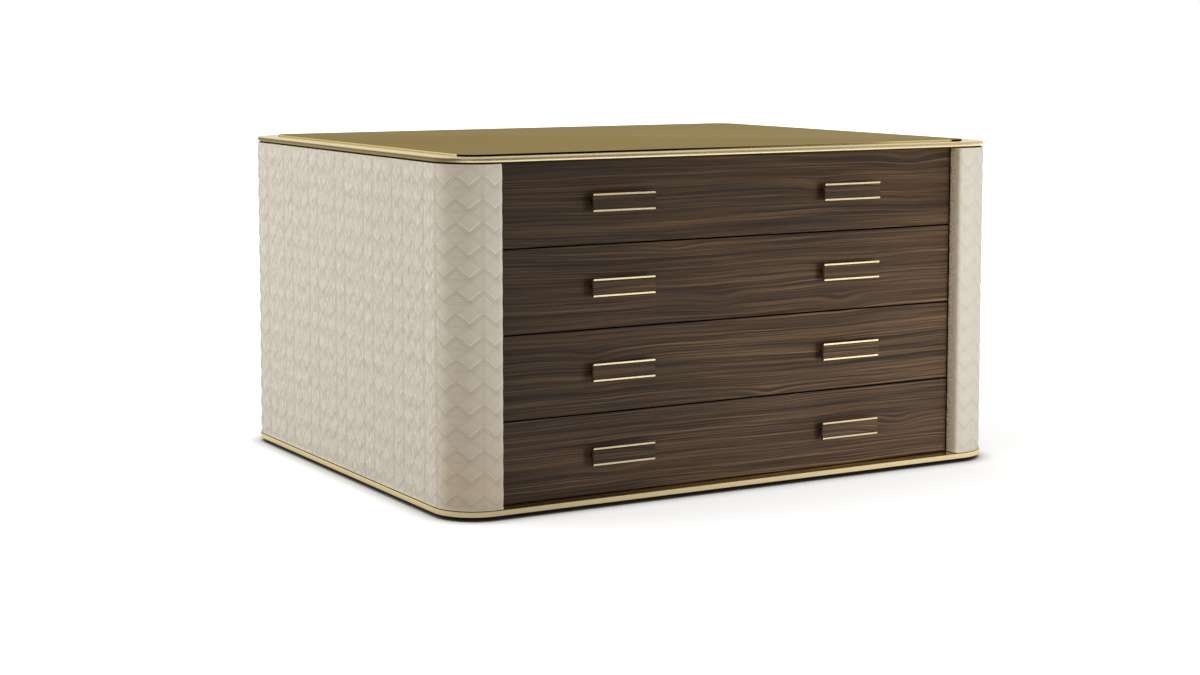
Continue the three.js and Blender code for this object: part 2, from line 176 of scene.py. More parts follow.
# %% One material as a finish
class Finish:
    """A procedural material: a Principled shader whose sockets take numbers, colours or values."""

    def __init__(self, name, **fixed):
        self.material = bpy.data.materials.new(name)
        self.material.use_nodes = True
        self.tree = self.material.node_tree
        self.shader = self.tree.nodes["Principled BSDF"]
        for key, value in fixed.items():
            self.set(key.replace("_", " "), value)

    def set(self, key, value):
        self.plug(self.shader, key, value)

    def plug(self, node, key, value):
        by_name = [s for s in node.inputs if s.enabled and s.name == key]
        socket = node.inputs[key] if isinstance(key, int) else by_name[0]
        if isinstance(value, Value):
            self.tree.links.new(value.socket, socket)
        else:
            socket.default_value = value

    def node(self, kind, settings, values, out=0):
        made = self.tree.nodes.new(kind)
        for key, value in settings.items():
            if key != "stops":
                setattr(made, key, value)
                continue
            stops = made.color_ramp.elements
            while len(stops) < len(value):
                stops.new(1)
            for stop, (at, colour) in zip(stops, value):
                stop.position, stop.color = at, colour
        for key, value in values.items():
            self.plug(made, key, value)
        return Value(self, [s for s in made.outputs if s.enabled][out])

    def split(self, vector, count=3):
        made = self.node("ShaderNodeSeparateXYZ", {}, {0: vector})
        return [Value(self, made.socket.node.outputs[i]) for i in range(count)]

    def place(self):
        """The object coordinates, in metres: a finished piece sits at the origin."""
        return self.split(self.node("ShaderNodeTexCoord", {}, {}, out=3))

    def uv(self, layer):
        return self.split(self.node("ShaderNodeUVMap", {"uv_map": layer}, {}), 2)

    def vector(self, x, y, z):
        return self.node("ShaderNodeCombineXYZ", {}, {0: x, 1: y, 2: z})

    def noise(self, x, y, z, detail=2, rough=0.5):
        """Soft random values round 0.5, whose grain is one unit of x, y and z."""
        values = {"Vector": self.vector(x, y, z), "Scale": 1, "Detail": detail, "Roughness": rough}
        return self.node("ShaderNodeTexNoise", {}, values)

    def ramp(self, value, stops):
        return self.node("ShaderNodeValToRGB", {"stops": stops}, {0: value})

    def rise(self, value, low, high):
        """0 below low, 1 above high, and a smooth step between them."""
        ends = {"Value": value, "From Min": low, "From Max": high}
        return self.node("ShaderNodeMapRange", {"interpolation_type": "SMOOTHSTEP"}, ends)

    def mix(self, share, first, second, blend="MIX"):
        settings = {"data_type": "RGBA", "blend_type": blend}
        return self.node("ShaderNodeMix", settings, {"Factor": share, "A": first, "B": second})

    def bump(self, height, distance):
        """Turns a height into a normal. A height of 1 stands distance metres proud."""
        values = {"Height": height, "Distance": distance}
        self.set("Normal", self.node("ShaderNodeBump", {}, values))


# %% Screen colours
def colour(red, green, blue):
    """A screen colour, 0 to 255, as the linear colour that a shader takes."""
    shares = [c / 255 for c in (red, green, blue)]
    linear = [s / 12.92 if s < 0.04045 else ((s + 0.055) / 1.055) ** 2.4 for s in shares]
    return (*linear, 1)


print("the middle grey of a screen is", round(colour(128, 128, 128)[0], 3), "in a shader")


# %% [markdown]
# ## Walnut
#
# The fronts, the slips in the pulls and the back are dark walnut with the grain lying along X. Real
# grain is a set of growth rings cut at a slant, so a height is bent by slow noise and by a few
# knots, and a noise of that bent height alone gives long bands that wander together. Fine pores lie
# along the bands. A wave texture would be simpler, but its bands are all equally wide.
#
# A slow painted shade and sheen, with a little random tone, make the fronts darker to the left
# and at the top, and lighter to the right and lighter and greyer below. Each gap between two
# fronts is shaded and reads as a black line a little wider than the gap, and a thin strip of
# painted shade gives it that.

# %% Grain of the walnut
BAND_GRAINS, LINE_GRAINS, BROAD_GRAINS, RING_GRAINS = 300, 640, 60, 180


def wood_grain(wood, x, y, z, offset):
    """Noises of one bent height: bands, fine lines, broad stripes and dark veins. The height is z
    with slow and quick waves added, and a bell round each knot. Each noise has so many grains to
    the metre of that height, and is stretched along X."""
    knots = wood.node(
        "ShaderNodeTexVoronoi",
        {"voronoi_dimensions": "2D"},
        {"Vector": wood.vector(x * 1.7, z * 5.2, 0), "Scale": 1},
    )
    eye = (knots * knots * -90).exp()
    slow = wood.noise(x * 1.5, y * 2, z * 3.4, 2)
    waver = wood.noise(x * 4.5, y * 2 + 5, z * 22, 3)
    height = z + slow * 0.034 + waver * 0.008 + eye * 0.012
    bands = wood.noise(height * BAND_GRAINS, x * 1.8, y + offset, 2, 0.6)
    lines = wood.noise((height + waver * 0.003) * LINE_GRAINS, x * 4, offset + 2, 2, 0.6)
    broad = wood.noise(height * BROAD_GRAINS, x * 0.8, offset + 9, 2)
    rings = wood.noise((height + waver * 0.002) * RING_GRAINS, x * 0.9, offset + 6, 1)
    vein = wood.rise(rings, 0.57, 0.63) * (1 - wood.rise(rings, 0.66, 0.76))
    return bands, lines, broad, vein


def painted_sheen_and_shade(wood, across, x, y, z, lighter):
    """A grey near 1 that changes slowly: a painted sheen, more to the right and below, and painted
    shade at the left, most at the upper left, with a little random tone.
    """
    fade = wood.noise(x * 1.6 + 4, y, z * 5, 1) * 0.26 + (0.84 * lighter)
    fade = fade + across * (1.45 - z) * 0.56 + (0.40 - z) * 0.46
    fade = fade - wood.rise(z, 0.61, 0.67) * (1 - wood.rise(across, 0.1, 0.6)) * 0.12
    return wood.vector(fade, fade * (1.08 - z * 0.11), fade * (1.17 - z * 0.36))


# %% Gaps between the fronts
front_boxes = [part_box(f"drawer_{n}_front") for n in DRAWERS]
front_levels = sorted(corner.z for box in front_boxes for corner in box)
FRONT_GAPS = [(a + b) / 2 for a, b in zip(front_levels[1:-1:2], front_levels[2:-1:2])]
GAP_CORE, GAP_RIM = 1.9 * MM, 2.6 * MM


def painted_gap_shade(wood, y, z):
    """Painted shade along the gaps: 1 within the core of a gap, falling to 0 at its rim, on the
    front half only.
    """
    strips = 0
    for level in FRONT_GAPS:
        strips = wood.rise(-abs(z - level), -GAP_RIM, -GAP_CORE) + strips
    return strips * wood.rise(-y, 0.5, 0.55)


print("gaps between the fronts at", [round(level, 4) for level in FRONT_GAPS])

# %% Walnut finish
WALNUT_STOPS = [
    (0.35, colour(30, 22, 18)),
    (0.45, colour(53, 40, 30)),
    (0.51, colour(73, 55, 40)),
    (0.57, colour(90, 69, 50)),
    (0.68, colour(124, 96, 70)),
]


def walnut(name, lighter, offset):
    """Dark walnut. offset slides the pattern along X, so that two pieces don't match."""
    wood = Finish(name, Specular_IOR_Level=0.2)
    across, y, z = wood.place()
    x = across + offset
    bands, lines, broad, vein = wood_grain(wood, x, y, z, offset)
    base = wood.ramp(bands * 0.56 + lines * 0.26 + broad * 0.18, WALNUT_STOPS)
    red = wood.rise(wood.noise(x * 1.4, y, z * 30 + 3, 2), 0.5, 0.75)
    base = wood.mix(red * 0.22, base, colour(86, 60, 44))
    base = wood.mix(vein * 0.56, base, colour(34, 25, 22))
    pore = wood.rise(wood.noise(x * 45, y * 200, z * 1500, 2), 0.6, 0.72)
    base = wood.mix(pore * 0.45, base, colour(30, 23, 20))
    # Painted sheen to the right and below, and painted shade to the left and at the top.
    base = wood.mix(1, base, painted_sheen_and_shade(wood, across, x, y, z, lighter), "MULTIPLY")
    # The gaps between the fronts are painted dark as shade.
    wood.set("Base Color", wood.mix(painted_gap_shade(wood, y, z), base, colour(8, 6, 5)))
    wood.set("Roughness", 0.46 + bands * 0.1 + pore * 0.15)
    wood.bump(lines * 0.3 - pore * 0.5, 0.2 * MM)
    return wood.material


WALNUT = walnut("walnut", 1.0, 0)
SLIP_WALNUT = walnut("slip_walnut", 0.98, 3.7)
print("walnut has", len(WALNUT.node_tree.nodes), "nodes")

# %% [markdown]
# ## Brass
#
# The band, the frame and the pulls are champagne brass with a satin brush. A metal has no colour of
# its own light: it tints what it mirrors. So a base colour and a fine, long-grained change of
# roughness do most of the work, and the studio does the rest. The brush runs along the piece's own
# U, because on a ring X and Y would cut across it.
#
# A real room is never as even as a studio in a computer. The photograph's metal grows brighter to
# The metal is painted brighter to the right along the front, as a painted reflection, and darker
# under the frame's groove, as a painted dark reflection, and behind the lips of the pulls it is
# painted dark as shade. A slow change of the base colour by place paints these in.

# %% Brushed brass
TARNISH = (0.28, 0.21, 0.11, 1)
PAINTED_SHADE_AND_REFLECTION = (0.11, 0.078, 0.022, 1)
BRUSH_DEPTH = 0.03 * MM


def painted_reflection_share(metal, x, y, z):
    """A painted reflection: how bright the front is painted, against 1 elsewhere: a slope along X,
    gentler on the frame, and brighter on the band, up to a limit."""
    front = metal.rise(-y, 0.5, 0.62)
    slope = (x * 0.28 - 0.05) * (1 - metal.rise(z, 0.80, 0.82) * 0.6)
    at_foot = 1 - metal.rise(z, 0.03, 0.06)
    return 1 + front * (slope * (1 - at_foot) + (x * 0.5 + 0.12).least(0.31) * at_foot)


def brushed(name, tint, rough, painted_dark_where):
    """painted_dark_where takes the finish, x, y and z, and gives 1 where the metal is painted dark
    as shade or as a dark reflection, else 0.
    """
    metal = Finish(name, Metallic=1, Specular_Tint=(1, 0.95, 0.78, 1))
    along, across = metal.uv("run")
    x, y, z = metal.place()
    brush = metal.noise(along * 6, across * 2600, 0, 3, 0.6)
    stain = metal.noise(along * 3, 2, 7, 2)
    share = painted_reflection_share(metal, x, y, z)
    shade = metal.mix(brush * 0.16 + stain * 0.10, tint, TARNISH)
    # The front is painted brighter to the right, a painted reflection.
    shade = metal.mix(1, shade, metal.vector(share, share, share), "MULTIPLY")
    # Painted shade behind the pulls' lips and a painted dark reflection under the frame's groove.
    dark = painted_dark_where(metal, x, y, z)
    metal.set("Base Color", metal.mix(dark, shade, PAINTED_SHADE_AND_REFLECTION))
    metal.set("Roughness", rough - 0.05 + brush * 0.12 + dark * 0.1)
    metal.bump(brush, BRUSH_DEPTH)
    return metal.material


# %% Brass finishes
FLANK_FROM, FLANK_FULL = HALF_WIDTH - 60 * MM, HALF_WIDTH - 10 * MM
PULL_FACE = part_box("drawer_1_pull_left")[0].y


def below_the_groove(metal, x, y, z):
    """The frame's lower face is painted darker than its rounded edge as a dark reflection, most of
    all on the flanks.
    """
    level = FRAME_FOOT + FRAME_FACE + FRAME_GROOVE
    flank = metal.rise(abs(x), FLANK_FROM, FLANK_FULL)
    below = (1 - metal.rise(z, level - 0.3 * MM, level)) * metal.rise(z, 0.5, 0.6)
    return below * (0.04 + flank * 0.91)


def behind_the_lips(metal, x, y, z):
    """A pull is bright only on the faces that point into the room, and is painted dark behind them
    as shade.
    """
    return metal.rise(y, PULL_FACE + 0.5 * MM, PULL_FACE + 1.1 * MM) * 0.85


BRASS = brushed("champagne_brass", (0.66, 0.54, 0.31, 1), 0.24, below_the_groove)
PULL_BRASS = brushed("pull_brass", (0.72, 0.61, 0.38, 1), 0.22, behind_the_lips)
print("brass has", len(BRASS.node_tree.nodes), "nodes")

# %% [markdown]
# ## Bronze
#
# The plate on top is a smooth bronze, darker than the brass. Seen almost flat, it is a mirror of
# the far side of the room, and the specular tint gives the colour that it keeps there. Its edge
# is polished. On the left and at the back it catches light. At the front, and round the corner to
# the middle of the right, it mirrors a dark room, but for one lit stretch of the front. The
# edge's colour by place stands for that room.

# %% Bronze finish
EDGE_FROM, EDGE_FULL = PLATE_TOP - 0.3 * MM, PLATE_TOP - 0.5 * MM
PLATE_TURN = HALF_WIDTH - 62 * MM
LIT_FROM, LIT_FULL = -0.22, 0.38
LIT_END = PLATE_TURN - 65 * MM
BRIGHT_EDGE, LIT_EDGE = (0.98, 0.84, 0.48, 1), (0.72, 0.60, 0.32, 1)
DARK_EDGE = (0.010, 0.008, 0.006, 1)


def polished_edge(metal, x, y):
    """The edge's colour: bright on the left flank and the back, else dark, but for the lit part."""
    turned = metal.rise(-x, PLATE_TURN, PLATE_TURN + 1 * MM).most(metal.rise(y, 0, 0.1))
    lit = metal.rise(x, LIT_FROM, LIT_FULL) * (1 - metal.rise(x, LIT_END, LIT_END + 10 * MM))
    return metal.mix(turned, metal.mix(lit, DARK_EDGE, LIT_EDGE), BRIGHT_EDGE)


def bronze():
    metal = Finish("bronze_plate", Metallic=1, Specular_Tint=(0.335, 0.272, 0.138, 1))
    x, y, z = metal.place()
    cloud = metal.noise(x * 3, y * 3, 0, 3)
    fine = metal.noise(x * 900, y * 900, z * 900, 2)
    far, near = (0.415, 0.325, 0.163, 1), (0.455, 0.368, 0.20, 1)
    tint = metal.mix(metal.rise(-y, -0.6, 0.6), far, near)
    tint = metal.mix(cloud * 0.12, tint, (0.33, 0.255, 0.12, 1))
    edge = 1 - metal.rise(z, EDGE_FULL, EDGE_FROM)
    metal.set("Base Color", metal.mix(edge, tint, polished_edge(metal, x, y)))
    metal.set("Roughness", (0.40 + cloud * 0.03 + fine * 0.04) * (1 - edge * 0.9))
    metal.bump(fine, 0.01 * MM)
    return metal.material


BRONZE = bronze()
print("bronze has", len(BRONZE.node_tree.nodes), "nodes")

# %% [markdown]
# ## Boards, steel and the dark foot
#
# These show only in gaps, under the foot and when a drawer is open. The carcass is dark stained
# board, the drawer boxes are light wood with a straight grain, the runners are zinc plated steel
# with its faint crystal bloom, and the plinth is black lacquer.

# %% Boards
def board(name, dark, light, rough):
    """Straight grain: a noise stretched along the board and bent a little by a slow one."""
    wood = Finish(name, Roughness=rough)
    x, y, z = wood.place()
    bend = wood.noise(x * 2, y * 2, z * 3, 2)
    lines = wood.noise(x * 5, y * 5, z * 160 + bend * 6, 3, 0.6)
    fine = wood.noise(x * 40, y * 40, z * 1200, 2)
    wood.set("Base Color", wood.mix(lines * 0.8 + fine * 0.2, dark, light))
    wood.set("Roughness", rough + fine * 0.1)
    wood.bump(fine, 0.1 * MM)
    return wood.material


CARCASS = board("carcass_board", colour(26, 20, 17), colour(44, 34, 28), 0.6)
DRAWER = board("drawer_board", colour(166, 138, 104), colour(200, 174, 138), 0.5)
print("boards have", len(CARCASS.node_tree.nodes), "nodes")

# %% Steel and lacquer
BLOOM_CELLS, PEEL_GRAINS = 120, 300


def steel():
    """Two greys, mixed by the chance tone of each crystal."""
    metal = Finish("runner_steel", Metallic=1, Roughness=0.35)
    x, y, z = metal.place()
    values = {"Vector": metal.vector(x, y, z), "Scale": BLOOM_CELLS}
    bloom = metal.node("ShaderNodeTexVoronoi", {}, values, out=1)
    grey = metal.node("ShaderNodeRGBToBW", {}, {0: bloom})
    metal.set("Base Color", metal.mix(grey, (0.62, 0.63, 0.65, 1), (0.74, 0.75, 0.76, 1)))
    metal.set("Roughness", 0.28 + grey * 0.14)
    return metal.material


def lacquer():
    """The fine orange peel of sprayed paint: a noise in colour, roughness and bump."""
    paint = Finish("black_lacquer", Roughness=0.6)
    x, y, z = paint.place()
    peel = paint.noise(x * PEEL_GRAINS, y * PEEL_GRAINS, z * PEEL_GRAINS, 2)
    paint.set("Base Color", paint.mix(peel, colour(16, 13, 11), colour(28, 22, 18)))
    paint.set("Roughness", 0.5 + peel * 0.2)
    paint.bump(peel, 0.05 * MM)
    return paint.material


STEEL, LACQUER = steel(), lacquer()
print("steel and lacquer", [len(made.node_tree.nodes) for made in (STEEL, LACQUER)], "nodes")

# %% [markdown]
# ## From arrays to a mesh
#
# A surface on a grid is an array of points, rows by columns, and its faces are the same four
# neighbours everywhere, so whole arrays do the work. Several surfaces make one closed piece when
# their shared edges are welded. Each corner keeps its own UV, so a pattern can stop at an edge.

# %% Shape builder
# Points closer than WELD become one, and edges shorter than SPECK are dropped.
WELD, SPECK = 2e-6, 1e-7


class Shape:
    """Collects surfaces as arrays and welds them into one closed mesh."""

    def __init__(self, *layers):
        self.layers, self.points, self.faces = layers, [], []
        self.maps = {layer: [] for layer in layers}
        self.count = 0

    def add(self, points, faces, **maps):
        points = np.asarray(points, float).reshape(-1, 3)
        self.points.append(points)
        self.faces += (np.asarray(faces) + self.count).tolist()
        for layer in self.layers:
            given = np.asarray(maps.get(layer, np.zeros((len(points), 2))), float)
            self.maps[layer].append(given.reshape(-1, 2))
        self.count += len(points)

    def grid(self, points, **maps):
        """Faces between neighbours of a grid of points, rows by columns by 3."""
        rows, columns = points.shape[:2]
        index = np.arange(rows * columns).reshape(rows, columns)
        corners = (index[:-1, :-1], index[:-1, 1:], index[1:, 1:], index[1:, :-1])
        self.add(points, np.stack(corners, -1).reshape(-1, 4), **maps)

    def cap(self, points, **maps):
        """One flat face through a closed line of points."""
        self.add(points, [np.arange(len(points))], **maps)

    def build(self, name, material, body, slot, stands_for=(), sharp=35):
        """Makes the piece. Edges that turn by more than sharp degrees stay sharp, or none at 0."""
        mesh = bpy.data.meshes.new(name)
        mesh.from_pydata(np.concatenate(self.points), [], self.faces)
        corners = np.empty(len(mesh.loops), np.int32)
        mesh.loops.foreach_get("vertex_index", corners)
        for layer in self.layers:
            values = np.concatenate(self.maps[layer])[corners]
            mesh.uv_layers.new(name=layer).data.foreach_set("uv", values.ravel())
        welded = bmesh.new()
        welded.from_mesh(mesh)
        bmesh.ops.remove_doubles(welded, verts=welded.verts, dist=WELD)
        bmesh.ops.dissolve_degenerate(welded, edges=welded.edges, dist=SPECK)
        bmesh.ops.recalc_face_normals(welded, faces=welded.faces)
        rims = sum(1 for edge in welded.edges if not edge.is_manifold)
        welded.to_mesh(mesh)
        welded.free()
        mesh.polygons.foreach_set("use_smooth", np.ones(len(mesh.polygons), bool))
        if sharp:
            mesh.set_sharp_from_angle(angle=math.radians(sharp))
        mesh.materials.append(material)
        piece = bpy.data.objects.new(name, mesh)
        bpy.context.scene.collection.objects.link(piece)
        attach(piece, body)
        if stands_for:
            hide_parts(*stands_for)
        print(name, len(mesh.vertices), "points,", len(mesh.polygons), "faces,", rims, "open")
        return piece


# %% [markdown]
# ## The band, the frame and the plate
#
# Each is one profile carried round the island's rounded outline. The outline is four arcs joined by
# straight lines. A profile point at an inset lies on an arc of a smaller radius about the same
# centre, so a centre and a direction for each step are all that the sweep needs. A bevel modifier
# could round the edges too, but the profile shows just where the light will catch.

# %% Sweep round the outline
ARC_STEPS = 40
STRAIGHT_STEPS = 12
QUARTERS = ((1, 1), (-1, 1), (-1, -1), (1, -1))


def outline():
    """Centres and directions round the outline: four quarter turns in equal steps, with the
    straight stretches between them cut up too, and the length run along the outside."""
    far = HALF_WIDTH - CORNER, HALF_DEPTH - CORNER
    centres, ways = [], []
    for quarter, signs in enumerate(QUARTERS):
        turn = (quarter + np.linspace(0, 1, ARC_STEPS + 1)) * math.pi / 2
        ways.append(np.stack((np.cos(turn), np.sin(turn)), -1))
        centres.append(np.repeat([np.multiply(signs, far)], len(turn), 0))
        share = np.linspace(0, 1, STRAIGHT_STEPS + 1)[1:-1, None]
        following = QUARTERS[(quarter + 1) % 4]
        start, end = np.multiply(signs, far), np.multiply(following, far)
        centres.append(start + (end - start) * share)
        ways.append(np.repeat(ways[-1][-1:], len(share), 0))
    centres, ways = np.concatenate(centres), np.concatenate(ways)
    centres, ways = np.vstack((centres, centres[:1])), np.vstack((ways, ways[:1]))
    outside = centres + ways * CORNER
    steps = np.linalg.norm(np.diff(outside, axis=0), axis=1)
    return centres, ways, np.concatenate(([0], np.cumsum(steps)))


CENTRES, WAYS, RUN = outline()


def arc(centre, radius, start, end, steps):
    """Points of a profile on an arc, in degrees: inset grows inwards and z upwards."""
    turn = np.radians(np.linspace(start, end, steps + 1))
    return [(centre[0] - radius * math.cos(t), centre[1] + radius * math.sin(t)) for t in turn]


def carry(shape, profile, closed):
    """The profile's points, each an inset and a level, at every step of the outline."""
    profile = np.array([*profile, profile[0]] if closed else profile)
    inset, level = profile[:, 0, None], profile[:, 1, None]
    points = np.empty((len(profile), len(RUN), 3))
    points[..., 0] = CENTRES[:, 0] + WAYS[:, 0] * (CORNER - inset)
    points[..., 1] = CENTRES[:, 1] + WAYS[:, 1] * (CORNER - inset)
    points[..., 2] = level
    strides = np.linalg.norm(np.diff(profile, axis=0), axis=1)
    across = np.concatenate(([0], np.cumsum(strides)))
    run = np.stack(np.broadcast_arrays(RUN[None, :], across[:, None]), -1)
    shape.grid(points, run=run)
    return points, run


print("outline", round(RUN[-1], 3), "m round, in", len(RUN) - 1, "steps")

# %% Base band
BAND_WIDTH = 60 * MM
BAND_EDGE = 0.8 * MM
EDGE_STEPS = 5
band = Shape("run")
carry(
    band,
    [
        (BAND_WIDTH, BAND_FOOT),
        *arc((BAND_EDGE, BAND_FOOT + BAND_EDGE), BAND_EDGE, -90, 0, EDGE_STEPS),
        *arc((BAND_EDGE, BAND_TOP - BAND_EDGE), BAND_EDGE, 0, 90, EDGE_STEPS),
        (BAND_WIDTH, BAND_TOP),
    ],
    closed=True,
)
band.build("band", BRASS, "carcass", "champagne_brass", ["base_band"])

# %% Top frame
# The section is an upright face, a groove cut back to GROOVE_BACK, and a rounded upper edge.
FRAME_WIDTH = 62 * MM
FRAME_INSET = 3.5 * MM
FRAME_EDGE = 0.5 * MM
FINE_STEPS, ROUND_STEPS, ROUND_START = 3, 12, 4
GROOVE_BACK = FRAME_INSET + FRAME_GROOVE * 3
ROUND_INSET = FRAME_INSET + FRAME_EDGE * 0.4
face_top = FRAME_FOOT + FRAME_FACE
round_foot = face_top + FRAME_GROOVE
ROUND = FRAME_TOP - round_foot
rim = Shape("run")
carry(
    rim,
    [
        (FRAME_WIDTH, FRAME_FOOT),
        *arc((FRAME_INSET + FRAME_EDGE, FRAME_FOOT + FRAME_EDGE), FRAME_EDGE, -90, 0, FINE_STEPS),
        *arc((FRAME_INSET + FRAME_EDGE, face_top - FRAME_EDGE), FRAME_EDGE, 0, 90, FINE_STEPS),
        (GROOVE_BACK, face_top),
        (GROOVE_BACK, round_foot),
        (ROUND_INSET, round_foot),
        *arc((FRAME_INSET + ROUND, round_foot), ROUND, ROUND_START, 90, ROUND_STEPS),
        (FRAME_WIDTH, FRAME_TOP),
    ],
    closed=True,
)
rim.build("frame_rim", BRASS, "carcass", "champagne_brass", ["top_frame"])

# %% Top plate
PLATE_EDGE = 0.8 * MM
plate = Shape("run")
points, run = carry(
    plate,
    [
        (PLATE_INSET, PLATE_FOOT),
        (PLATE_INSET, PLATE_TOP - 2 * PLATE_EDGE),
        *arc((PLATE_INSET + PLATE_EDGE, PLATE_TOP - PLATE_EDGE), PLATE_EDGE, 0, 90, EDGE_STEPS),
    ],
    closed=False,
)
plate.cap(points[0, :-1], run=run[0, :-1])
plate.cap(points[-1, :-1], run=run[-1, :-1])
plate.build("plate", BRONZE, "carcass", "bronze_plate", ["top_plate"])

# %% [markdown]
# ## The quilted leather
#
# Thick leather wraps each side and turns in beside the drawers. Double rows of stitching cross it
# in diamonds. In each cell of the quilting one diamond swells and sags a little, so its fullest
# place lies below its middle, and the diamonds between stay low. Every second or third line of them
# is held by an upright double seam, and the others by a short level one.
#
# Stitching pulls leather into grooves that a plain grid would cut into steps. So it is turned:
# p and q run along the two stitching directions, with close lines beside every seam. The borders of
# the field then fall on the grid's own diagonals. A cloth simulation isn't needed, because the
# leather is stretched over foam and board, and its form is set by the stitching alone.

# %% Path of the pad
PAD_INSET = 1.5 * MM
PAD_DEPTH = 20 * MM
BEND = 13 * MM
ARC = CORNER - PAD_INSET
RETURN_LIMIT = 595 * MM
outer_y = HALF_DEPTH - PAD_INSET
BEND_START, BEND_END, TURN_START, TURN_END, MIDDLE = np.cumsum(
    [
        outer_y - BEND - RETURN_LIMIT,
        BEND * math.pi / 2,
        HALF_WIDTH - CORNER - OPENING - BEND,
        ARC * math.pi / 2,
        HALF_DEPTH - CORNER,
    ]
)
PAD_LENGTH = 2 * MIDDLE


def pad_line(length, lift, inner=False):
    """The point at a length along the right pad, lift metres inside its outermost line: a straight
    return, a tight quarter turn, a short front, a wide quarter turn and half the side, and then
    the same again in the mirror. On the inner wall the point is held clear of the sharp corner."""
    length = np.asarray(length, float)
    back = length > MIDDLE
    s = np.where(back, PAD_LENGTH - length, length)
    tight = np.clip((s - BEND_START) / BEND, 0, math.pi / 2)
    wide = np.clip((s - TURN_START) / ARC, 0, math.pi / 2)
    x = OPENING + BEND * (1 - np.cos(tight)) + ARC * np.sin(wide)
    x = x + np.clip(s - BEND_END, 0, TURN_START - BEND_END)
    y = -RETURN_LIMIT - np.clip(s, 0, BEND_START) - BEND * np.sin(tight)
    y = y + ARC * (1 - np.cos(wide)) + np.clip(s - TURN_END, 0, None)
    facing = tight + wide
    x = x + np.cos(facing) * lift
    y = y + np.sin(facing) * lift
    if inner:
        x = np.maximum(x, OPENING + PAD_DEPTH)
        y = np.maximum(y, -outer_y + PAD_DEPTH)
    return x, np.where(back, -y, y)


print("pad length", round(PAD_LENGTH, 4))

# %% Columns and rows of diamonds
ROWS = 15
COLUMNS = 25
HEM = 10 * MM
RIM_ROLL = 3.5 * MM
field_top = BODY_TOP - RIM_ROLL
field_foot = BODY_FOOT + HEM
row_height = (field_top - field_foot) / ROWS

# Column 0 lies where the bend starts and column 1 at the first upright seam, and the next ones keep
# one width round the corner. The rest share what is left of the side.
FIELD_START, COLUMN_0, FIRST_SEAM = 9.5 * MM, 39.8 * MM, 99.92 * MM
CORNER_COLUMN = 64 * MM
COLUMN_AT = np.concatenate(([-0.5], np.arange(0, COLUMNS + 1), [COLUMNS + 0.5]))
front_places = [FIELD_START, COLUMN_0] + [FIRST_SEAM + i * CORNER_COLUMN for i in range(4)]
middle_count = len(COLUMN_AT) - 2 * len(front_places)
first, last = front_places[-1], PAD_LENGTH - front_places[-1]
middle_places = np.linspace(first, last, middle_count + 2)[1:-1]
PLACES = np.concatenate((front_places, middle_places, PAD_LENGTH - np.array(front_places)[::-1]))
UPRIGHT_SEAMS = np.array([1, 3, 4, 6, 7, 9, 10, 12, 13, 15, 16, 18, 19, 21, 22, 24])
LEVEL_SEAMS = np.array([0, 2, 5, 8, 11, 14, 17, 20, 23, 25])
print("columns at", np.round(PLACES, 3))

# %% Turned lattice
# TILE is the side of a diamond in millimetres. HALF_LINES are the places, in tiles, of the grid's
# lines from the middle of a seam to the middle of a tile.
TILE = 39.0
HALF_LINES = np.array([0, 1.4, 2.75, 4.2, 6.5, 10, 14.5, 19.5]) / TILE
TILE_LINES = np.concatenate((HALF_LINES, 1 - HALF_LINES[-2::-1]))


def lines(first, last):
    """Places of the grid's lines from first to last, in tiles: close together at each seam."""
    starts = np.arange(first, last)[:, None]
    return np.append((starts + TILE_LINES[:-1]).ravel(), last)


along_p = lines(-0.5, COLUMNS + ROWS + 0.5)
along_q = lines(-ROWS - 0.5, COLUMNS + 0.5)
P, Q = np.meshgrid(along_p, along_q, indexing="ij")
COLUMN, ROW = (P + Q) / 2, (P - Q) / 2
print("lattice of", len(along_p), "by", len(along_q), "lines")

# %% [markdown]
# The relief is worked out for the whole lattice at once. In a tile, a and b run from 0 at its upper
# edges to 1 at its lower ones. The swelling rises slowly from the upper stitching and drops fast to
# the lower, as 1 minus an exponential of the distance on each side. Between the two rows of a
# double stitch a narrow ridge stays up, because only the groove that each row pulls lowers it.

# %% Relief of the quilting
# Heights and distances in these formulas are in millimetres.
SWELL, LOW_SWELL, RIDGE, WAVE, EDGE_WAVE = 2.2, 0.5, 0.5, 0.9, 1.3
STITCH_AT, STITCH_WIDTH = 2.75, 1.0
PUFF_RISE, PUFF_FALL, LOW_RISE = 14, 3.2, 9
SEAM_PULL, SEAM_REACH = 0.6, 4
COLUMN_WIDTH, LEVEL_HALF, LEVEL_STEEP = 58, 0.45, 90
DRAWN = 64
rng = np.random.default_rng(11)
FULLNESS = 1 + 0.10 * rng.uniform(-1, 1, (DRAWN, DRAWN))


def groove(distance):
    """1 minus a bell round the row of stitches, which lies STITCH_AT from the seam's middle."""
    return 1 - np.exp(-(((distance - STITCH_AT) / STITCH_WIDTH) ** 2))


def swell(share, upper, lower):
    """Rises over upper millimetres from the upper edge and falls over lower ones to the lower."""
    above = np.maximum(share * TILE - STITCH_AT, 0)
    below = np.maximum((1 - share) * TILE - STITCH_AT, 0)
    return (1 - np.exp(-above / upper)) * (1 - np.exp(-below / lower))


def seam_distances(column, row):
    """Millimetres to the nearest upright seam, and to the nearest short level one, which ends
    LEVEL_HALF of a column on each side."""
    upright = np.abs(column[..., None] - UPRIGHT_SEAMS).min(-1) * COLUMN_WIDTH
    past = np.maximum(np.abs(column[..., None] - LEVEL_SEAMS).min(-1) - LEVEL_HALF, 0)
    level = np.hypot(np.abs(row - np.round(row)) * row_height / MM, past * LEVEL_STEEP)
    return upright, level


